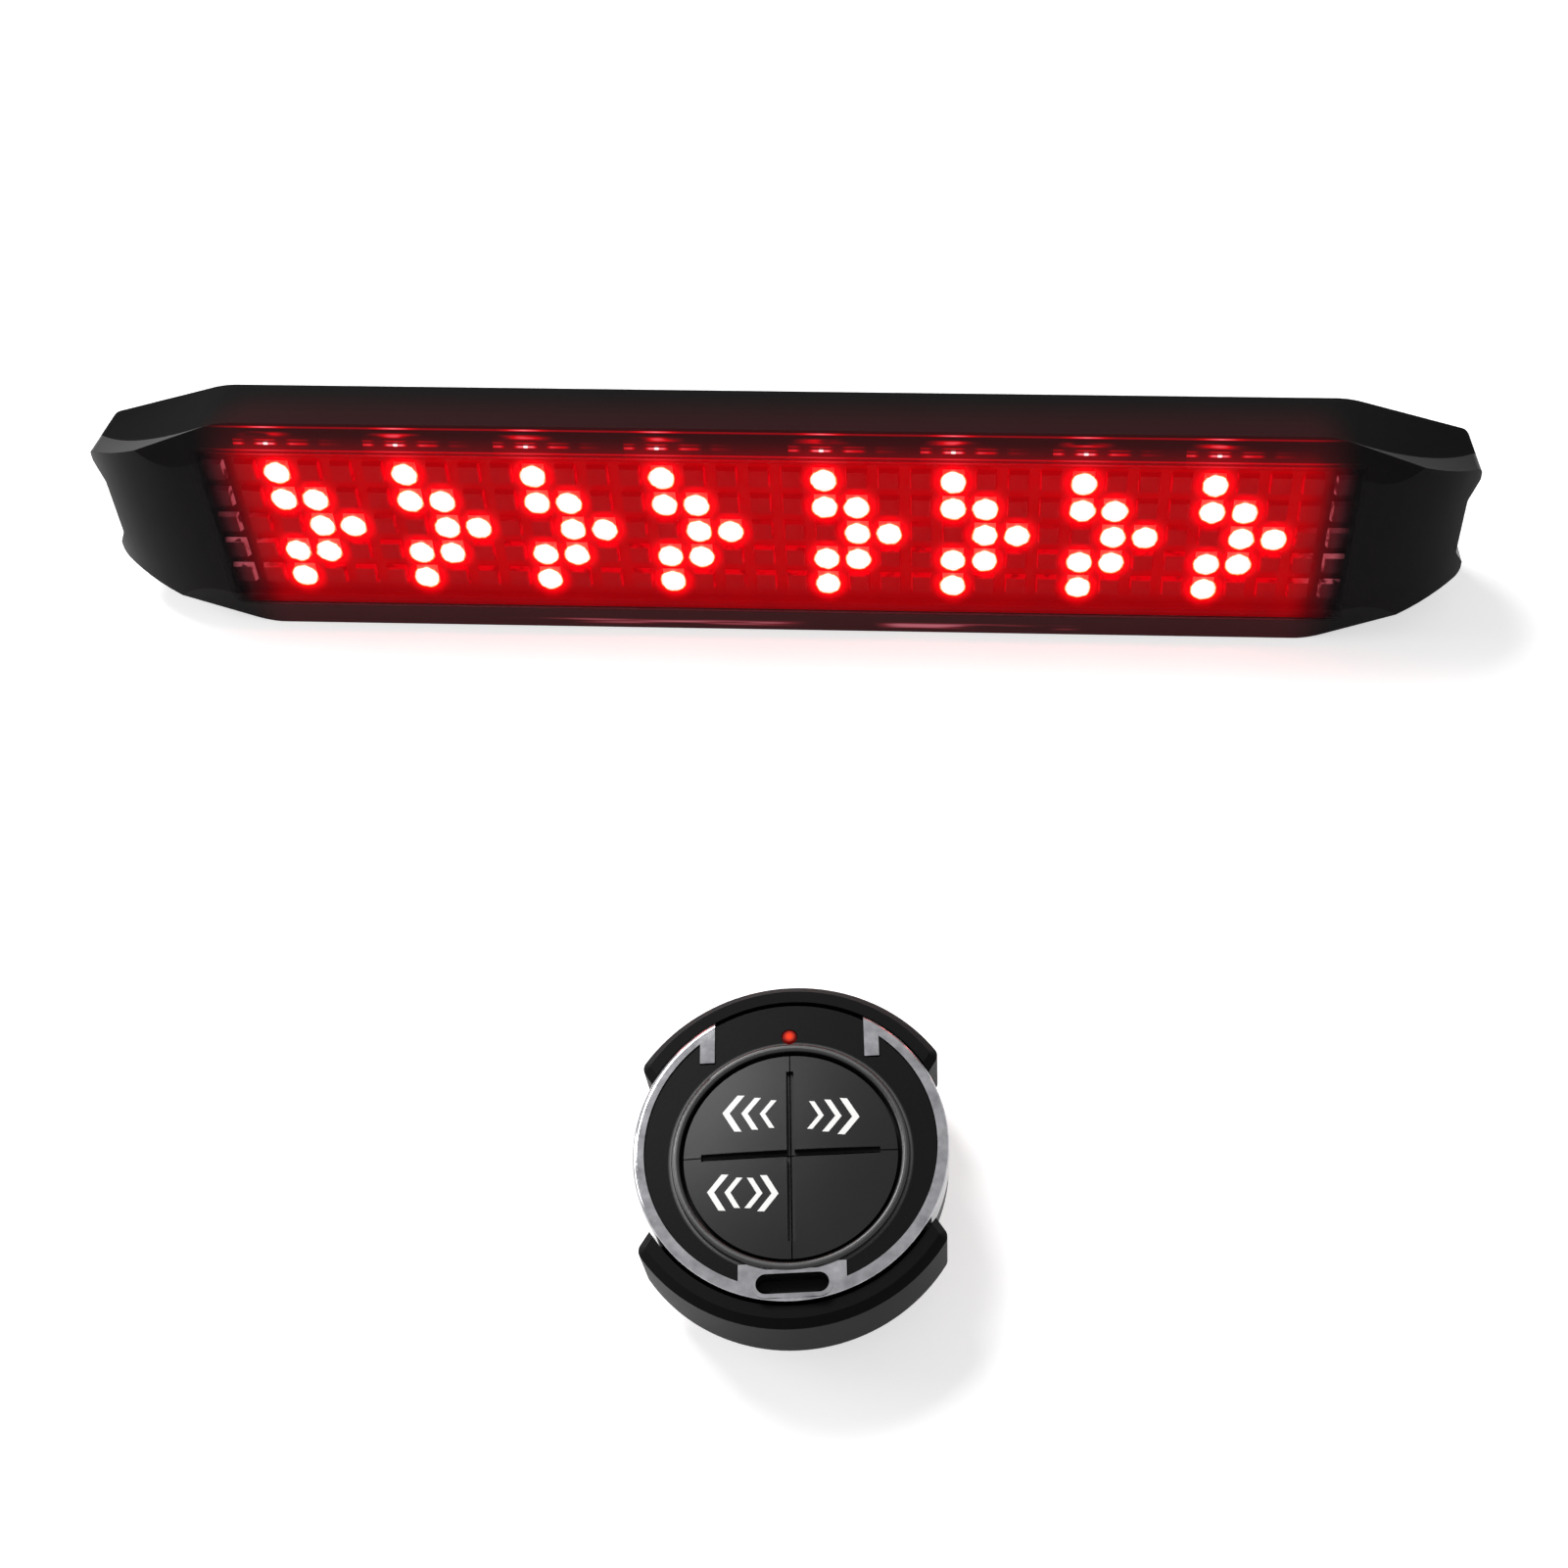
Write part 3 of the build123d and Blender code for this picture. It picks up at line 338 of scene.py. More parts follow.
def fold_on_arrow(tree, place):
    """Columns past the first lamp of the nearest arrow, rows from the top, and 1 outside all arrows."""
    split = add(tree, "SeparateXYZ", {0: place})
    column = maths(tree, "MULTIPLY_ADD", split.outputs[0], 1 / PITCH, (COLUMNS - 1) / 2)
    past_gap = maths(tree, "SUBTRACT", column, COLUMNS / 2 - MIDDLE_GAP, clamp=True)
    column = maths(tree, "SUBTRACT", column, past_gap)
    from_window = maths(tree, "SUBTRACT", column, LEFT_FIRST_COLUMN - 1)
    half_reach = ARROW_PERIOD * ARROWS / 2
    within = maths(tree, "COMPARE", from_window, half_reach, half_reach)
    # past_gap is 0 left of the middle gap and 1 right of it, so this product is above 0 only inside it
    in_gap = maths(tree, "MULTIPLY", past_gap, maths(tree, "SUBTRACT", 1.0, past_gap))
    within = maths(tree, "MULTIPLY", within, maths(tree, "LESS_THAN", in_gap, NEARLY_NOTHING))
    folded = maths(tree, "FLOORED_MODULO", from_window, ARROW_PERIOD)
    row = maths(tree, "MULTIPLY_ADD", split.outputs[2], -1 / PITCH, (ROWS - 1) / 2)
    return maths(tree, "SUBTRACT", folded, 1.0), row, maths(tree, "SUBTRACT", 1.0, within)


def lamp_distance(tree, place):
    """Millimetres to the nearest lit lamp: the bar is folded onto one arrow, then the least of eight."""
    column, row, outside = fold_on_arrow(tree, place)
    point = add(tree, "CombineXYZ", {0: column, 1: row}).outputs[0]
    nearest = None
    for step in ARROW:
        inputs = {0: point, 1: (*step, 0.0)}
        distance = add(tree, "VectorMath", inputs, operation="DISTANCE").outputs["Value"]
        nearest = distance if nearest is None else maths(tree, "MINIMUM", nearest, distance)
    return maths(tree, "MULTIPLY_ADD", nearest, PITCH, maths(tree, "MULTIPLY", outside, FAR))


print("lit lamps:", ARROWS * len(ARROW), "of", COLUMNS * ROWS)

# %% [markdown]
# ## How the red light spreads
#
# This light is painted into the emission of the surfaces near the lamps. Between the lit lamps the
# light has bounced so often that it is painted as one even red, from end to end of the arrows, with
# painted shade along the bottom, and dying out between the last two columns. On top of that each lit
# lamp has its own short painted halo. The halo has to end before the next fold of the pattern, one
# pitch away, or the fold would show as a hard line.

# %% Painted even red field and short halos
FIELD_HALF, FIELD_FADE = 78.0, 4.0
FACE_HALF_HEIGHT = 13.1
HALO_START, HALO_END = 1.9, 4.0


def painted_red_field(tree, along):
    """How much of the painted even red reaches a place along the bar: 1 by the arrows, 0 at the ends."""
    away = maths(tree, "ABSOLUTE", along)
    return smoothstep(tree, away, FIELD_HALF + FIELD_FADE, FIELD_HALF - FIELD_FADE)


def halo(tree, distance):
    """A lit lamp's own painted halo: 1 at its rim, and 0 before the next fold of the pattern."""
    return smoothstep(tree, distance, HALO_END, HALO_START)


print("red field in mm: full to", FIELD_HALF - FIELD_FADE, "and gone at", FIELD_HALF + FIELD_FADE)

# %% [markdown]
# ## The smoked cover
#
# The cover is one moulding of dark polycarbonate. Over the matrix it is thin and lets the lamps
# through, and towards the ends and the rim it is so thick that it looks black. So its opacity is low
# inside a window with soft ends and high outside it. The lamps' bloom is painted on its inner face as
# a glow: white-hot with a thin yellow edge, then red. The light that its bevels would carry as light
# guides is painted into their emission, and the parts of the cover behind the lamp tops get a faint
# painted red. The upper bevel shows two rows of short painted dashes, a broad row above them and a
# pale line under the seam, which are brightest over each arrow, and two even, fine lines along the
# edge of the face. On the lower one, painted glints stand in for its reflections of the ground and
# the lamps. Each painted line of light is given as its height and its half width. Heights and
# lengths are millimetres in the bar's axes, and widths over an arrow are columns.

# %% Smoked polycarbonate
WINDOW_HALF, WINDOW_FADE = 81.3, 1.6
INNER_FACE, INNER_WALL = -0.8, 0.05
CORE, CORE_RIM, BLOOM_REACH = 1.86, 2.0, 6.0
OPACITY_PAST_WINDOW, OPACITY_IN_WINDOW = 0.97, 0.06
# Heights and half widths of the lines of light painted on the bevels.
LINE_UNDER_SEAM, BROAD_ROW = (17.35, 0.22), (16.3, 0.5)
DASH_ROW, SECOND_ROW = (14.95, 0.3), (15.5, 0.18)
EDGE_LINES, LOWER_EDGE_LINE = ((13.35, 0.2), (13.95, 0.2)), (-13.5, 0.3)
DASH_RIM, DASH_CORE = 0.42, 0.2
HAZE_TOP, HAZE_BOTTOM = 17.5, 12.8
FADING_COLUMNS, NEAR_COLUMNS, SPOT_COLUMNS, HOT_COLUMNS = 2.6, 1.6, 0.95, 0.09
# Row and lengths of the glints painted on the lower bevel in place of reflections.
GLINT_ROW, GLINTS = (-16.4, 0.75), [(-19.0, 24.0), (29.0, 16.0)]
HALO_POWER, HALO_STRENGTH = 1.6, 0.55
PAINTED_WALL_LIGHT = 0.3
# Colours of the light painted on the upper bevel and behind the lamp tops.
PAINTED_UPPER_BEVEL_TONES = [
    (0.0, "#000000"), (0.12, "#340508"), (0.3, "#86000a"), (0.5, "#d80010"), (0.7, "#ff5060"),
    (1.0, "#ffffff"),
]
# Colours of the haze and glints painted on the lower bevel.
PAINTED_LOWER_BEVEL_TONES = [
    (0.0, "#000000"), (0.14, "#300a0d"), (0.3, "#6a1e26"), (0.6, "#b4606c"), (1.0, "#ffc0c8"),
]
# Colours of the bloom painted on the cover's inner face.
PAINTED_BLOOM_TONES = [
    (0.0, "#ffffff"), (1.7 / BLOOM_REACH, "#ffffff"), (1.8 / BLOOM_REACH, "#ffc050"),
    (1.92 / BLOOM_REACH, "#ff1408"), (2.3 / BLOOM_REACH, "#ff0010"), (1.0, "#ff0010"),
]


def line_of_light(tree, height, middle, half_width):
    """1 along the middle of a line at that height on the bevel, and 0 past its soft edges."""
    away = maths(tree, "ABSOLUTE", maths(tree, "SUBTRACT", height, middle))
    return smoothstep(tree, away, half_width, half_width * 0.2)


def scaled_sum(tree, *terms):
    """The sum of (socket, factor) terms."""
    total = 0.0
    for value, factor in terms:
        total = maths(tree, "MULTIPLY_ADD", value, factor, total)
    return total


def paint_upper_bevel_light(tree, place, height, field):
    """Light painted on the upper bevel: rows of dashes over the arrows, edge lines and a faint haze."""
    column, _, outside = fold_on_arrow(tree, place)
    inside = maths(tree, "SUBTRACT", 1.0, outside)
    past_lamp = maths(tree, "ABSOLUTE", column)
    from_lamp = maths(tree, "ABSOLUTE", maths(tree, "WRAP", column, 0.5, -0.5))
    fading = maths(tree, "MULTIPLY", smoothstep(tree, past_lamp, FADING_COLUMNS, 0.0), inside)
    spot = maths(tree, "MULTIPLY", smoothstep(tree, past_lamp, SPOT_COLUMNS, 0.0), inside)
    painted_dashes = maths(tree, "MULTIPLY", smoothstep(tree, from_lamp, DASH_RIM, DASH_CORE), fading)
    ripple = grain(tree, 0.9, detail=1.0, stretch=(6.0, 1.0, 1.0))
    ripple = smoothstep(tree, ripple, 0.35, 0.6)
    rows = maths(tree, "MULTIPLY", painted_dashes, line_of_light(tree, height, *DASH_ROW))
    second = maths(tree, "MULTIPLY", painted_dashes, line_of_light(tree, height, *SECOND_ROW))
    broad = maths(tree, "MULTIPLY", spot, ripple)
    broad = maths(tree, "MULTIPLY", broad, line_of_light(tree, height, *BROAD_ROW))
    painted_hot_dots = smoothstep(tree, past_lamp, HOT_COLUMNS, HOT_COLUMNS / 3)
    painted_hot_dots = maths(tree, "MULTIPLY", painted_hot_dots, inside)
    painted_hot_dots = maths(tree, "MULTIPLY", painted_hot_dots, line_of_light(tree, height, *DASH_ROW))
    painted_seam_line = scaled_sum(tree, (field, 0.28), (spot, 0.5))
    painted_seam_line = maths(tree, "MULTIPLY", painted_seam_line, line_of_light(tree, height, *LINE_UNDER_SEAM))
    painted_edge_light = maths(tree, "ADD", *[line_of_light(tree, height, *line) for line in EDGE_LINES])
    painted_edge_light = maths(tree, "MULTIPLY", painted_edge_light, field)
    low = smoothstep(tree, height, HAZE_TOP, HAZE_BOTTOM)
    low = maths(tree, "MULTIPLY", low, field)
    near = maths(tree, "MULTIPLY", low, smoothstep(tree, past_lamp, NEAR_COLUMNS, 0.0))
    near = maths(tree, "MULTIPLY", near, inside)
    return scaled_sum(
        tree, (field, 0.1), (low, 0.1), (near, 0.14), (rows, 0.5), (second, 0.25),
        (broad, 0.5), (painted_hot_dots, 0.6), (painted_seam_line, 0.8), (painted_edge_light, 0.26),
    )


def paint_lower_bevel_glints(tree, along, height, field):
    """Light painted on the lower bevel: a faint haze, a fine edge line and two ragged long glints."""
    ragged = grain(tree, 1.1, detail=1.0, stretch=(16.0, 1.0, 1.0))
    glints = 0.0
    for middle, half_length in GLINTS:
        away = maths(tree, "ABSOLUTE", maths(tree, "SUBTRACT", along, middle))
        glint = smoothstep(tree, away, half_length, half_length * 0.7)
        glints = maths(tree, "ADD", glints, glint)
    glints = maths(tree, "MULTIPLY", glints, line_of_light(tree, height, *GLINT_ROW))
    glints = maths(tree, "MULTIPLY", glints, smoothstep(tree, ragged, 0.4, 0.62))
    edge = maths(tree, "MULTIPLY", line_of_light(tree, height, *LOWER_EDGE_LINE), field)
    return scaled_sum(tree, (field, 0.14), (edge, 0.12), (glints, 0.45))


def paint_bloom_on_cover(tree, place, window, opacity, behind):
    """Colour and strength of the lamps' bloom, painted as a glow on the cover's inner face."""
    ragged = maths(tree, "MULTIPLY_ADD", grain(tree, 1.1), 0.5, -0.25)
    near = maths(tree, "ADD", lamp_distance(tree, place), ragged)
    tone = ramp(tree, maths(tree, "DIVIDE", near, BLOOM_REACH), PAINTED_BLOOM_TONES)
    core = smoothstep(tree, near, CORE_RIM, CORE)
    faint_halo = maths(tree, "POWER", halo(tree, near), HALO_POWER)
    faint_halo = maths(tree, "MULTIPLY", faint_halo, HALO_STRENGTH)
    strength = maths(tree, "MULTIPLY", maths(tree, "MAXIMUM", core, faint_halo), window)
    strength = maths(tree, "DIVIDE", strength, opacity)
    inner_face = maths(tree, "GREATER_THAN", behind, INNER_FACE)
    return tone, maths(tree, "MULTIPLY", strength, inner_face)


def smoked_cover():
    """Polycarbonate: opacity by the window, painted bloom on the inner face, painted light on the
    bevels.
    """
    made, tree, shader = material(
        "smoked_polycarbonate", IOR=1.58, Roughness=0.3, Specular_IOR_Level=0.035
    )
    place = bar_place(tree)
    along, behind, up = add(tree, "SeparateXYZ", {0: place}).outputs
    past_middle = maths(tree, "ABSOLUTE", along)
    height = maths(tree, "ABSOLUTE", up)
    in_length = smoothstep(tree, past_middle, WINDOW_HALF + WINDOW_FADE, WINDOW_HALF - WINDOW_FADE)
    in_height = smoothstep(tree, height, FACE_HALF_HEIGHT + 1.0, FACE_HALF_HEIGHT - 0.4)
    window = maths(tree, "MULTIPLY", in_length, in_height)
    opacity = between(tree, window, OPACITY_PAST_WINDOW, OPACITY_IN_WINDOW)
    tree.links.new(opacity, shader.inputs["Alpha"])
    tone = between(tree, grain(tree, 12.0), "#121011", "#181617")
    tree.links.new(tone, shader.inputs["Base Color"])

    # The lamps' bloom, painted as emission on the cover's inner face.
    painted_bloom, painted_bloom_strength = paint_bloom_on_cover(tree, place, window, opacity, behind)
    field = painted_red_field(tree, along)
    upper = maths(tree, "GREATER_THAN", up, 0.0)
    wall = maths(tree, "GREATER_THAN", behind, INNER_WALL)
    # Light painted on the upper bevel, and a faint painted red behind the lamp tops.
    painted_level = maths(tree, "MULTIPLY", upper, paint_upper_bevel_light(tree, place, up, field))
    painted_wall_light = maths(tree, "MULTIPLY", maths(tree, "MULTIPLY", wall, field), PAINTED_WALL_LIGHT)
    painted_upper_tone = ramp(tree, maths(tree, "MAXIMUM", painted_level, painted_wall_light), PAINTED_UPPER_BEVEL_TONES)
    # Glints painted on the lower bevel in place of reflections.
    painted_lower_tone = ramp(tree, paint_lower_bevel_glints(tree, along, up, field), PAINTED_LOWER_BEVEL_TONES)
    either = maths(tree, "MAXIMUM", upper, wall)
    painted_bevel_light = colour_mix(tree, {"Factor": either, "A": painted_lower_tone, "B": painted_upper_tone})
    beside_face = maths(tree, "GREATER_THAN", height, FACE_HALF_HEIGHT)
    beside_face = maths(tree, "MAXIMUM", beside_face, wall)
    # Emission: the painted bloom inside the face, and the painted bevel light beside it.
    painted_glow = colour_mix(tree, {"Factor": beside_face, "A": painted_bloom, "B": painted_bevel_light})
    tree.links.new(painted_glow, shader.inputs["Emission Color"])
    strength = maths(tree, "MAXIMUM", painted_bloom_strength, beside_face)
    tree.links.new(strength, shader.inputs["Emission Strength"])
    return made


wear(smoked_cover(), "front_lens")
print("window in mm:", 2 * WINDOW_HALF, "by", 2 * FACE_HALF_HEIGHT)

# %% [markdown]
# ## The lamps and their board
#
# Each lamp is a square package of pale resin. The lit ones are far brighter than the camera can hold.
# The board between them has a dark solder mask, and the red light on it is painted into its emission,
# as it is on the lens seal. The dark lamps get a little less of the painted light on their tops, and a
# painted highlight on the side edge that faces the middle of the bar and, in the lower rows, on the
# upper edge.

# %% Lit lamps, dark lamps and the lamp board
LAMP_HALF = 1.55
LIT_CORE, LIT_RIM = 1.3, 1.6
RIM_STRENGTH, CORE_STRENGTH = 0.9, 12.0
FIELD_LIGHT, HALO_LIGHT, EDGE_LIGHT = 0.62, 0.25, 0.35
LOW_ROWS_START, LOW_ROWS_FULL = 4.0, -4.0
BOTTOM_SHADE, SHADE_START, SHADE_END = 0.74, -13.0, -8.5
# Ramps of the red light painted on the board, the lens seal and the dark lamps.
PAINTED_RED_LIGHT = [(0.0, "#1b1013"), (0.25, "#62040a"), (0.6, "#c00208"), (1.0, "#ff0010")]
PAINTED_DUSKY_LIGHT = [(0.0, "#33191e"), (0.2, "#5e0c13"), (0.6, "#b00208"), (1.0, "#f0000e")]
# Colour of the highlight painted on dark lamp edges away from the red field.
PAINTED_EDGE_HIGHLIGHT = "#b8606c"


def lit_resin():
    """Resin over a burning chip: white-hot inside a round window, and red outside it."""
    made, tree, shader = material("lit_lamp_resin", IOR=1.5, Roughness=0.4)
    resin_tone = between(tree, grain(tree, 1.5), "#ff8a7a", "#ffb0a0")
    tree.links.new(resin_tone, shader.inputs["Base Color"])
    from_chip = lamp_distance(tree, bar_place(tree))
    window = smoothstep(tree, from_chip, LIT_RIM, LIT_CORE)
    tone = colour_mix(tree, {"Factor": window, "A": linear("#ff0008"), "B": linear("#ff5a50")})
    tree.links.new(tone, shader.inputs["Emission Color"])
    strength = between(tree, window, RIM_STRENGTH, CORE_STRENGTH)
    tree.links.new(strength, shader.inputs["Emission Strength"])
    return made


def painted_board_light(tree, place, field, up):
    """Painted light on the board, 0 to 1: the even field, painted shade by the bottom edge, and halos.
    """
    # Painted shade towards the bottom edge.
    by_bottom = smoothstep(tree, up, SHADE_START, SHADE_END)
    shaded = maths(tree, "MULTIPLY", field, between(tree, by_bottom, BOTTOM_SHADE, 1.0))
    patchy = maths(tree, "MULTIPLY_ADD", grain(tree, 7.0), 0.3, 0.85)
    halos = halo(tree, lamp_distance(tree, place))
    even = maths(tree, "MULTIPLY", shaded, patchy)
    return scaled_sum(tree, (even, FIELD_LIGHT), (halos, HALO_LIGHT))


def painted_highlight_edges(tree, along, up):
    """1 where a highlight is painted: the lamp edge facing the middle, and in low rows the upper edge.
    """
    column = maths(tree, "MULTIPLY_ADD", along, 1 / PITCH, (COLUMNS - 1) / 2)
    row = maths(tree, "MULTIPLY_ADD", up, 1 / PITCH, (ROWS - 1) / 2)
    across = maths(tree, "MULTIPLY", maths(tree, "WRAP", column, 0.5, -0.5), PITCH)
    inward = maths(tree, "MULTIPLY", maths(tree, "SIGN", along), across)
    upward = maths(tree, "MULTIPLY", maths(tree, "WRAP", row, 0.5, -0.5), PITCH)
    side = smoothstep(tree, inward, 0.3 - LAMP_HALF, 0.1 - LAMP_HALF)
    top = smoothstep(tree, upward, LAMP_HALF - 0.35, LAMP_HALF - 0.15)
    low_rows = smoothstep(tree, up, LOW_ROWS_START, LOW_ROWS_FULL)
    return maths(tree, "MAXIMUM", side, maths(tree, "MULTIPLY", top, low_rows))


def paint_lamp_light_finish(name, dark, pale, stops, edge_light=0.0):
    """A surface by the lit lamps: own tone, red light painted as emission, and any painted edge
    highlight.
    """
    made, tree, shader = material(
        name, IOR=1.5, Roughness=0.6, Specular_IOR_Level=0.05, Emission_Strength=1.0
    )
    tree.links.new(between(tree, grain(tree, 0.8), dark, pale), shader.inputs["Base Color"])
    place = bar_place(tree)
    along, _, up = add(tree, "SeparateXYZ", {0: place}).outputs
    field = painted_red_field(tree, along)
    painted_level = painted_board_light(tree, place, field, up)
    # Highlight painted on the lamp edges, paler where the red field is weak.
    if edge_light:
        broken = smoothstep(tree, grain(tree, 1.6), 0.35, 0.5)
        painted_edge_light = maths(tree, "MULTIPLY", painted_highlight_edges(tree, along, up), broken)
        tone = ramp(tree, maths(tree, "MULTIPLY_ADD", painted_edge_light, edge_light, painted_level), stops)
        outside_field = maths(tree, "MULTIPLY", painted_edge_light, between(tree, field, 0.8, 0.0))
        inputs = {"Factor": outside_field, "A": tone, "B": linear(PAINTED_EDGE_HIGHLIGHT)}
        tone = colour_mix(tree, inputs)
    else:
        tone = ramp(tree, painted_level, stops)
    tree.links.new(tone, shader.inputs["Emission Color"])
    return made


wear(lit_resin(), "lit_lamps")
# The red light on these surfaces is painted into their emission.
unlit_resin_in_painted_light = paint_lamp_light_finish("unlit_lamp_resin_in_painted_red_light", "#140c0d", "#1c1213", PAINTED_DUSKY_LIGHT, EDGE_LIGHT)
mask_in_painted_red_light = paint_lamp_light_finish("dark_solder_mask_in_painted_red_light", "#0c0303", "#140505", PAINTED_RED_LIGHT)
rubber_in_painted_red_light = paint_lamp_light_finish("black_silicone_in_painted_red_light", "#070404", "#0c0606", PAINTED_RED_LIGHT)
wear(unlit_resin_in_painted_light, "dark_lamps")
wear(mask_in_painted_red_light, "led_board")
wear(rubber_in_painted_red_light, "lens_seal")
print("finishes by the lamps:", unlit_resin_in_painted_light.name, mask_in_painted_red_light.name, rubber_in_painted_red_light.name)

# %% [markdown]
# ## Painted red light on the casing, and the polished collar
#
# Red light from the cover is painted on the casing as a faint glow, strongest at the seam. On the
# remote, the collar round the keypad is rubbed by the same fingers that press the keys, so it mirrors
# more than the face does, and it shows as a grey ring in the photograph.

# %% Painted red spill and polish
SPILL_END = 15.0
COLLAR_RADIUS, COLLAR_HALF = 13.85 * MM, 0.9 * MM
FACE_SPECULAR, COLLAR_SPECULAR = 0.05, 0.6


def paint_red_light(finish):
    """Paints red light as emission, strongest at the seam, gone SPILL_END millimetres behind the lamps.
    """
    tree = finish.node_tree
    along, behind, _ = add(tree, "SeparateXYZ", {0: bar_place(tree)}).outputs
    by_seam = smoothstep(tree, behind, SPILL_END, 0.0)
    painted_spill = maths(tree, "MULTIPLY", by_seam, painted_red_field(tree, along))
    shader = tree.nodes["Principled BSDF"]
    # The faint red glow painted on the casing near the seam.
    shader.inputs["Emission Color"].default_value = linear("#2c0508")
    tree.links.new(painted_spill, shader.inputs["Emission Strength"])


def polish_collar(finish):
    """Lets a ring of COLLAR_RADIUS round the keypad mirror more than the rest."""
    tree = finish.node_tree
    low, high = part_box("keypad_membrane")
    middle = (low + high) / 2
    place = add(tree, "TexCoord").outputs["Object"]
    flat = add(tree, "VectorMath", {0: place, 1: (1, 1, 0)}, operation="MULTIPLY").outputs[0]
    inputs = {0: flat, 1: (middle.x, middle.y, 0)}
    radius = add(tree, "VectorMath", inputs, operation="DISTANCE").outputs["Value"]
    away = maths(tree, "ABSOLUTE", maths(tree, "SUBTRACT", radius, COLLAR_RADIUS))
    polish = smoothstep(tree, away, COLLAR_HALF, COLLAR_HALF / 2)
    shader = tree.nodes["Principled BSDF"]
    specular = between(tree, polish, FACE_SPECULAR, COLLAR_SPECULAR)
    tree.links.new(specular, shader.inputs["Specular IOR Level"])


paint_red_light(casing_plastic)
polish_collar(remote_plastic)
print("collar in mm:", round(2 * COLLAR_RADIUS / MM, 1), "across")

# %% [markdown]
# ## Boards, chips, foam, cell wrap and leads
#
# These pieces are inside, and only show where a slot or a port lets the eye in. They still get what
# they are made of: green solder mask, black epoxy, silver pouch film and red wire. The battery's foam
# pad takes the finish of the rubber, which is close to it. The remote's indicator is the exception:
# it shows in the face, as an epoxy lamp that glows orange-red at its crown and deep red at its rim.

# %% Finishes inside the housings, and the indicator
CROWN_RADIUS, CROWN_CORE = 0.9 * MM, 0.15 * MM
green_mask = moulded("green_solder_mask", "#0c3a1e", "#114826", 0.35, 1.2, 0.004)
epoxy = moulded("black_epoxy", "#111112", "#18181a", 0.5, 0.3, 0.006)
pouch = metal("aluminium_pouch_film", "#9a9da1", "#b4b7bb", 0.4, 3.0, 0.05)
red_wire = moulded("red_silicone_wire", "#8a0c0c", "#a01212", 0.45, 0.8, 0.004, 1.41)
wear(green_mask, "control_board", "remote_board")
wear(epoxy, "control_chip", "board_connector", "power_switch", "tact_switches")
wear(soft_rubber, "battery_pad")
wear(pouch, "battery")
wear(red_wire, "battery_leads")


def indicator_resin():
    """Tinted epoxy lamp: bright at its crown and deep red at its rim."""
    made, tree, shader = material(
        "red_indicator_epoxy", IOR=1.5, Roughness=0.3, Specular_IOR_Level=0.1
    )
    low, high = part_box("indicator_lamp")
    middle = (low + high) / 2
    place = add(tree, "TexCoord").outputs["Object"]
    inputs = {0: place, 1: (middle.x, middle.y, high.z)}
    from_crown = add(tree, "VectorMath", inputs, operation="DISTANCE").outputs["Value"]
    core = smoothstep(tree, from_crown, CROWN_RADIUS, CROWN_CORE)
    tone = colour_mix(tree, {"Factor": core, "A": linear("#6a0404"), "B": linear("#ff3a08")})
    shader.inputs["Base Color"].default_value = linear("#4a0303")
    tree.links.new(tone, shader.inputs["Emission Color"])
    tree.links.new(between(tree, core, 0.5, 1.0), shader.inputs["Emission Strength"])
    return made


wear(indicator_resin(), "indicator_lamp")
print("inner finishes:", green_mask.name, epoxy.name, pouch.name, red_wire.name)

# %% [markdown]
# ## Marks on the keys
#
# Three of the four keys carry arrowheads: left, right, and both ways for the hazard light. They are
# pad printed in thick white ink, so the arrowheads of a key are one thin mesh that rides on that key.
# An arrowhead is one stroke with a bend at its tip. It is drawn as a band whose outer edge runs from
# the lower end, through the tip, to the upper end, and it is laid on the keypad's dome, whose height
# falls off from the middle like a shallow sphere. Each row below is one arrowhead: the place of its
# tip, the side it points to, its height and the width of its stroke, all in millimetres.

# %% Arrowheads printed on the keys
INK_HEIGHT, INK_SUNK = 0.05, 0.04
MARKS_UP = 1.25
LEAN_SHARE, STROKE_SHARE = 0.7, 0.92
DOME_FALL = 0.5
GROUPS = [
    (
        "key_left", "left", 3.7,
        [(-8.5, -1, 4.7, 0.95), (-6.2, -1, 4.15, 0.84), (-3.96, -1, 3.6, 0.7)],
    ),
    (
        "key_right", "right", 3.7,
        [(3.79, 1, 3.6, 0.7), (5.94, 1, 4.15, 0.84), (8.09, 1, 4.7, 0.95)],
    ),
    (
        "key_hazard", "both", -6.3,
        [(-9.47, -1, 4.4, 0.9), (-7.4, -1, 3.7, 0.76), (-2.89, 1, 3.7, 0.76), (-0.98, 1, 4.4, 0.9)],
    ),
]
pad_points = np.vstack([packed_points(key) for key in KEYS])
pad_low, pad_high = pad_points.min(0) / MM, pad_points.max(0) / MM
pad_middle, pad_top = (pad_low + pad_high) / 2, pad_high[2]
pad_radius = (pad_high[0] - pad_low[0]) / 2
dome_radius = (pad_radius**2 + DOME_FALL**2) / (2 * DOME_FALL)
ring_low, ring_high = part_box("trim_ring")
marks_middle = ((ring_low.x + ring_high.x) / 2 / MM, pad_middle[1] + MARKS_UP)


def dome_height(x, y):
    """Height of the keypad in mm: top - (R - sqrt(R^2 - r^2)), with r the distance from its middle."""
    squared = (x - pad_middle[0]) ** 2 + (y - pad_middle[1]) ** 2
    return pad_top - dome_radius + np.sqrt(dome_radius**2 - squared)


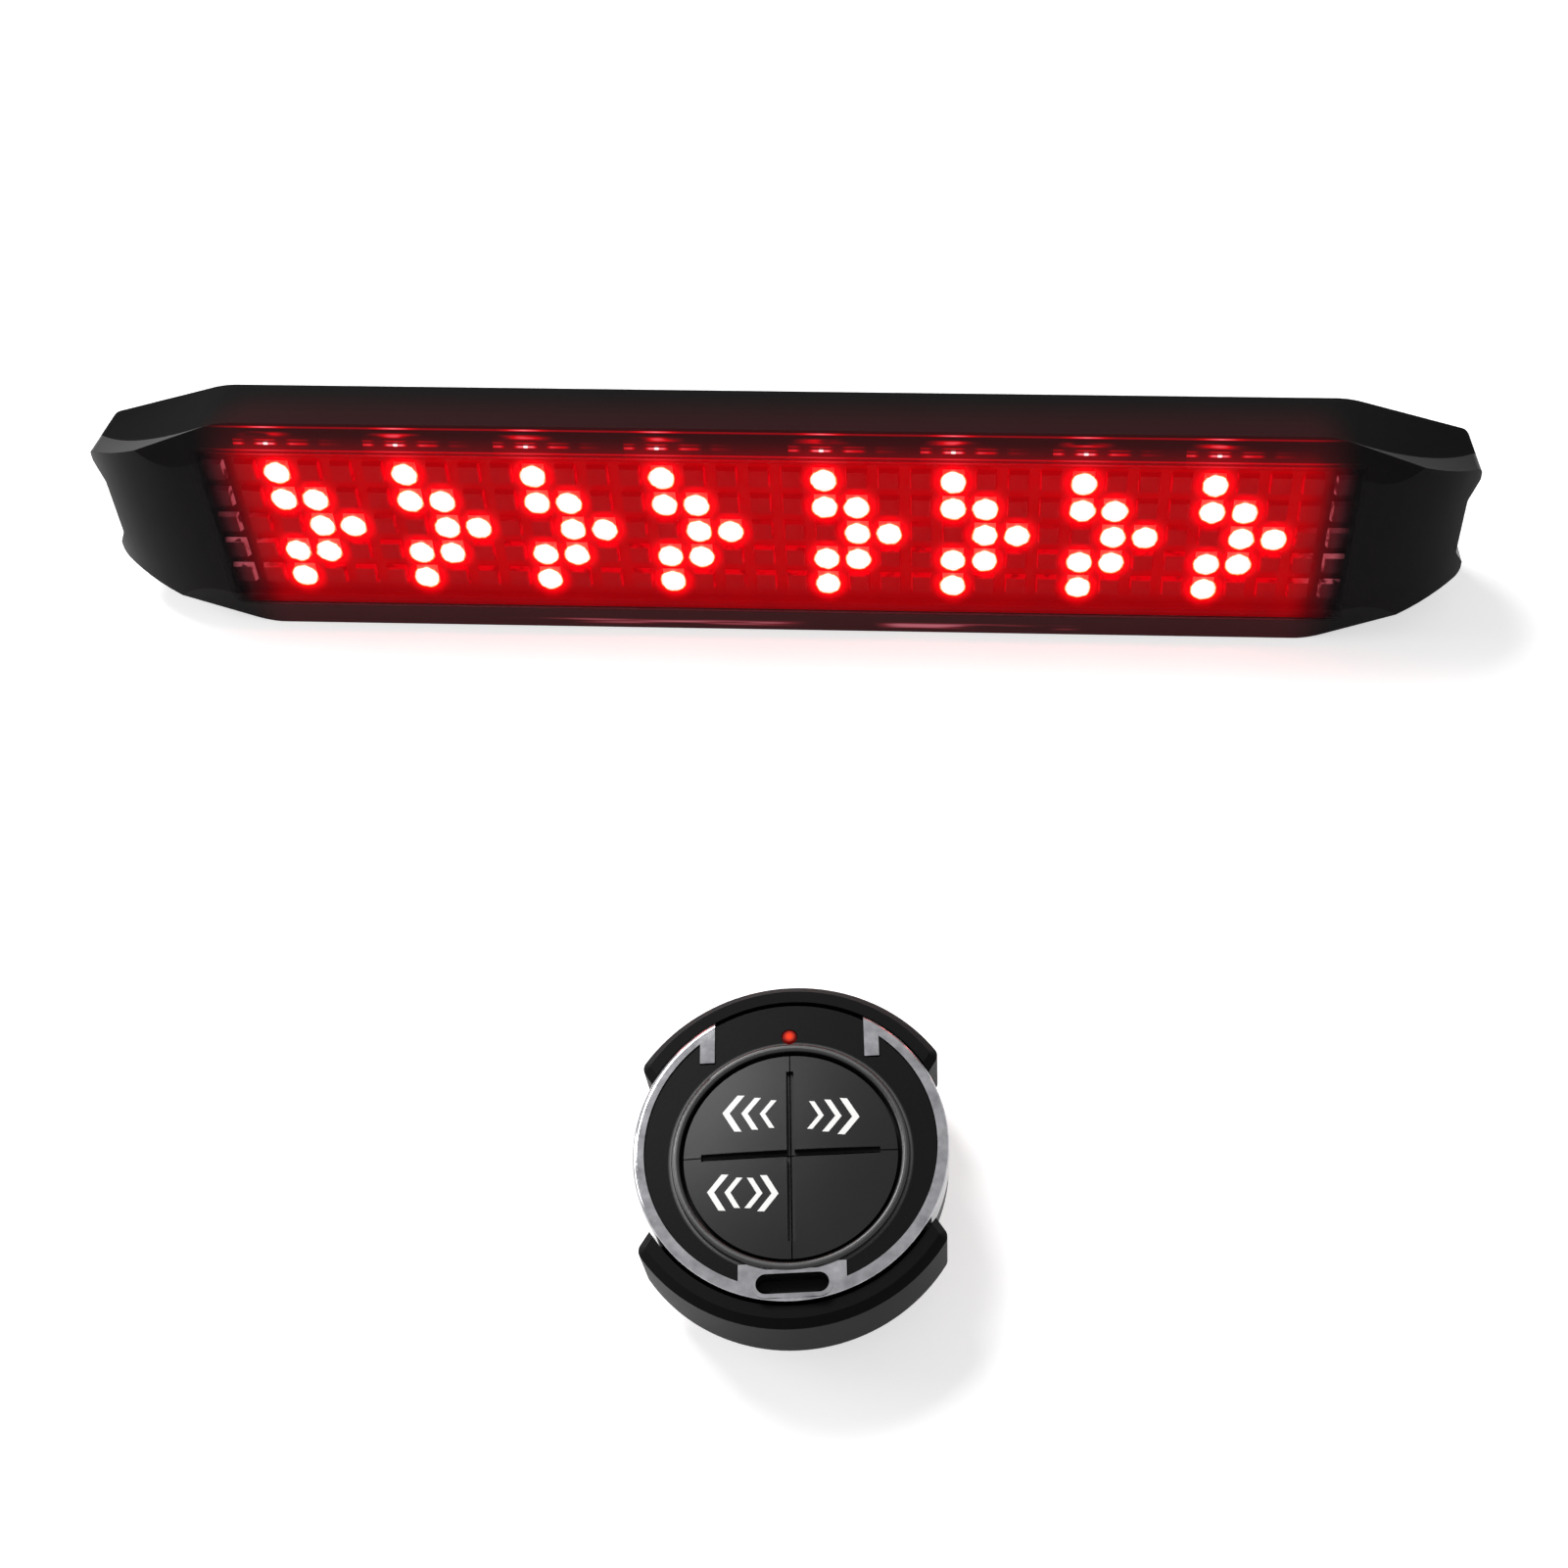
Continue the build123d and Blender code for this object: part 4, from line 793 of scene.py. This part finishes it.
def arrowhead(tip, side, middle_y, height, stroke):
    """One stroke: x = tip - side * (lean * |t| * height / 2 + width), y = t * height / 2."""
    t = np.linspace(-1, 1, 41)[:, None]
    across = np.array([0.0, 1.0, 1.0, 0.0])[None, :]
    lifted = np.array([1.0, 1.0, 0.0, 0.0])[None, :]
    x = tip - side * (LEAN_SHARE * abs(t) * height / 2 + across * stroke * STROKE_SHARE)
    y = middle_y + t * height / 2 + 0 * across
    x, y = x + marks_middle[0], y + marks_middle[1]
    z = dome_height(x, y) + lifted * (INK_HEIGHT + INK_SUNK) - INK_SUNK
    points = np.stack([x, y, z], axis=-1) * MM
    count = len(t)
    faces = []
    for edge in range(4):
        ahead = (edge + 1) % 4
        start = np.arange(count - 1) * 4
        quad = np.stack([start + edge, start + ahead, start + 4 + ahead, start + 4 + edge], axis=1)
        faces += quad[:, ::-1].tolist() if side > 0 else quad.tolist()
    ends = [[3, 2, 1, 0], [4 * count - corner for corner in (4, 3, 2, 1)]]
    faces += [end[::-1] for end in ends] if side > 0 else ends
    return points.reshape(-1, 3), faces


def made_mesh(name, points, faces):
    """A mesh object from points in metres and a list of faces."""
    mesh = bpy.data.meshes.new(name)
    mesh.from_pydata(points.tolist(), [], faces)
    mesh.update()
    made = bpy.data.objects.new(name, mesh)
    bpy.context.scene.collection.objects.link(made)
    return made


print("keypad radius in mm:", round(pad_radius, 2), "middle:", np.round(pad_middle, 2))
ink = moulded("white_pad_print_ink", "#f4f4f2", "#fdfdfb", 0.5, 0.6, 0.004)
for key, word, middle_y, strokes in GROUPS:
    all_points, all_faces, first = [], [], 0
    for tip, side, height, stroke in strokes:
        points, faces = arrowhead(tip, side, middle_y, height, stroke)
        all_points.append(points)
        all_faces += [[corner + first for corner in face] for face in faces]
        first += len(points)
    mark = made_mesh("mark_" + word, np.vstack(all_points), all_faces)
    wear(ink, mark)
    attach(mark, key)

# %% [markdown]
# ## The floor, the backdrop and the light
#
# The photograph has a plain white ground. The floor is pale and curves up behind the object without a
# corner. Seen by the camera, or mirrored in chrome, it is white, and everywhere else it is an
# ordinary pale surface, so that the object's shadow stays on it. The world does the same: nearly
# white where it is seen or mirrored, and a plain dim light on the object.

# %% White ground
GROUND_HALF_WIDTH, GROUND_HEIGHT = 3.0, 2.2
GROUND_FRONT, GROUND_BACK, SWEEP_RADIUS = -2.5, 1.6, 0.6
WHITE_ON_GROUND = 0.6
WORLD_ON_OBJECT, WORLD_SEEN = 0.3, 0.8


def grid_faces(rows, columns):
    """Quads of a grid of rows by columns points, numbered row by row, as one array."""
    corner = (np.arange(rows - 1)[:, None] * columns + np.arange(columns - 1)).ravel()
    return np.stack([corner, corner + 1, corner + columns + 1, corner + columns], axis=1).tolist()


turn = np.linspace(-np.pi / 2, 0, 25)
sweep_y = GROUND_BACK + SWEEP_RADIUS * np.cos(turn)
sweep_z = SWEEP_RADIUS + SWEEP_RADIUS * np.sin(turn)
profile_y = np.concatenate([[GROUND_FRONT], sweep_y, [GROUND_BACK + SWEEP_RADIUS]])
profile_z = np.concatenate([[0.0], sweep_z, [GROUND_HEIGHT]])
ground_x = np.tile([-GROUND_HALF_WIDTH, GROUND_HALF_WIDTH], len(profile_y))
ground_points = np.stack([ground_x, np.repeat(profile_y, 2), np.repeat(profile_z, 2)], axis=1)
ground = made_mesh("ground", ground_points, grid_faces(len(profile_y), 2))


def white_ground():
    """Pale floor that shades as matt paint, plus white for camera, mirrored and transmitted rays."""
    made, tree, shader = material(
        "matt_white_sweep", Roughness=0.9, Base_Color=linear("#e6e6e6")
    )
    rays = add(tree, "LightPath")
    seen = maths(tree, "MAXIMUM", rays.outputs["Is Camera Ray"], rays.outputs["Is Glossy Ray"])
    seen = maths(tree, "MAXIMUM", seen, rays.outputs["Is Transmission Ray"])
    white = add(tree, "Emission", {"Color": (1, 1, 1, 1), "Strength": WHITE_ON_GROUND})
    nothing = add(tree, "Emission", {"Strength": 0.0})
    extra = add(tree, "MixShader", {0: seen, 1: nothing.outputs[0], 2: white.outputs[0]})
    both = add(tree, "AddShader", {0: shader.outputs[0], 1: extra.outputs[0]})
    tree.links.new(both.outputs[0], tree.nodes["Material Output"].inputs["Surface"])
    return made


wear(white_ground(), ground)

world = bpy.data.worlds.new("studio")
world.use_nodes = True
tree = world.node_tree
tree.nodes["Background"].inputs["Color"].default_value = (1, 1, 1, 1)
rays = add(tree, "LightPath")
seen = maths(tree, "MAXIMUM", rays.outputs["Is Camera Ray"], rays.outputs["Is Glossy Ray"])
strength = between(tree, seen, WORLD_ON_OBJECT, WORLD_SEEN)
tree.links.new(strength, tree.nodes["Background"].inputs["Strength"])
bpy.context.scene.world = world
print("ground points:", len(ground_points))

# %% [markdown]
# ## Soft boxes
#
# A large soft lamp gives the soft shadow edges of a studio table. The main one stands high behind the
# set on the left, so the shadows fall to the front and right. A weaker one on the left side keeps the
# left wing from going black.


# %% Soft boxes
def soft_box(name, place, target, size, power):
    """A square area lamp at place, in metres, that faces target."""
    data = bpy.data.lights.new(name, "AREA")
    data.shape = "SQUARE"
    data.size, data.energy = size, power
    lamp = bpy.data.objects.new(name, data)
    lamp.location = place
    lamp.rotation_euler = (Vector(target) - Vector(place)).to_track_quat("-Z", "Y").to_euler()
    bpy.context.scene.collection.objects.link(lamp)
    print(name, "watts:", power)


soft_box("key_box", (-0.36, 0.42, 0.76), (0, -0.05, 0), 0.35, 8.0)
soft_box("side_box", (-0.85, 0.1, 0.35), (0, 0, 0), 0.4, 3.0)
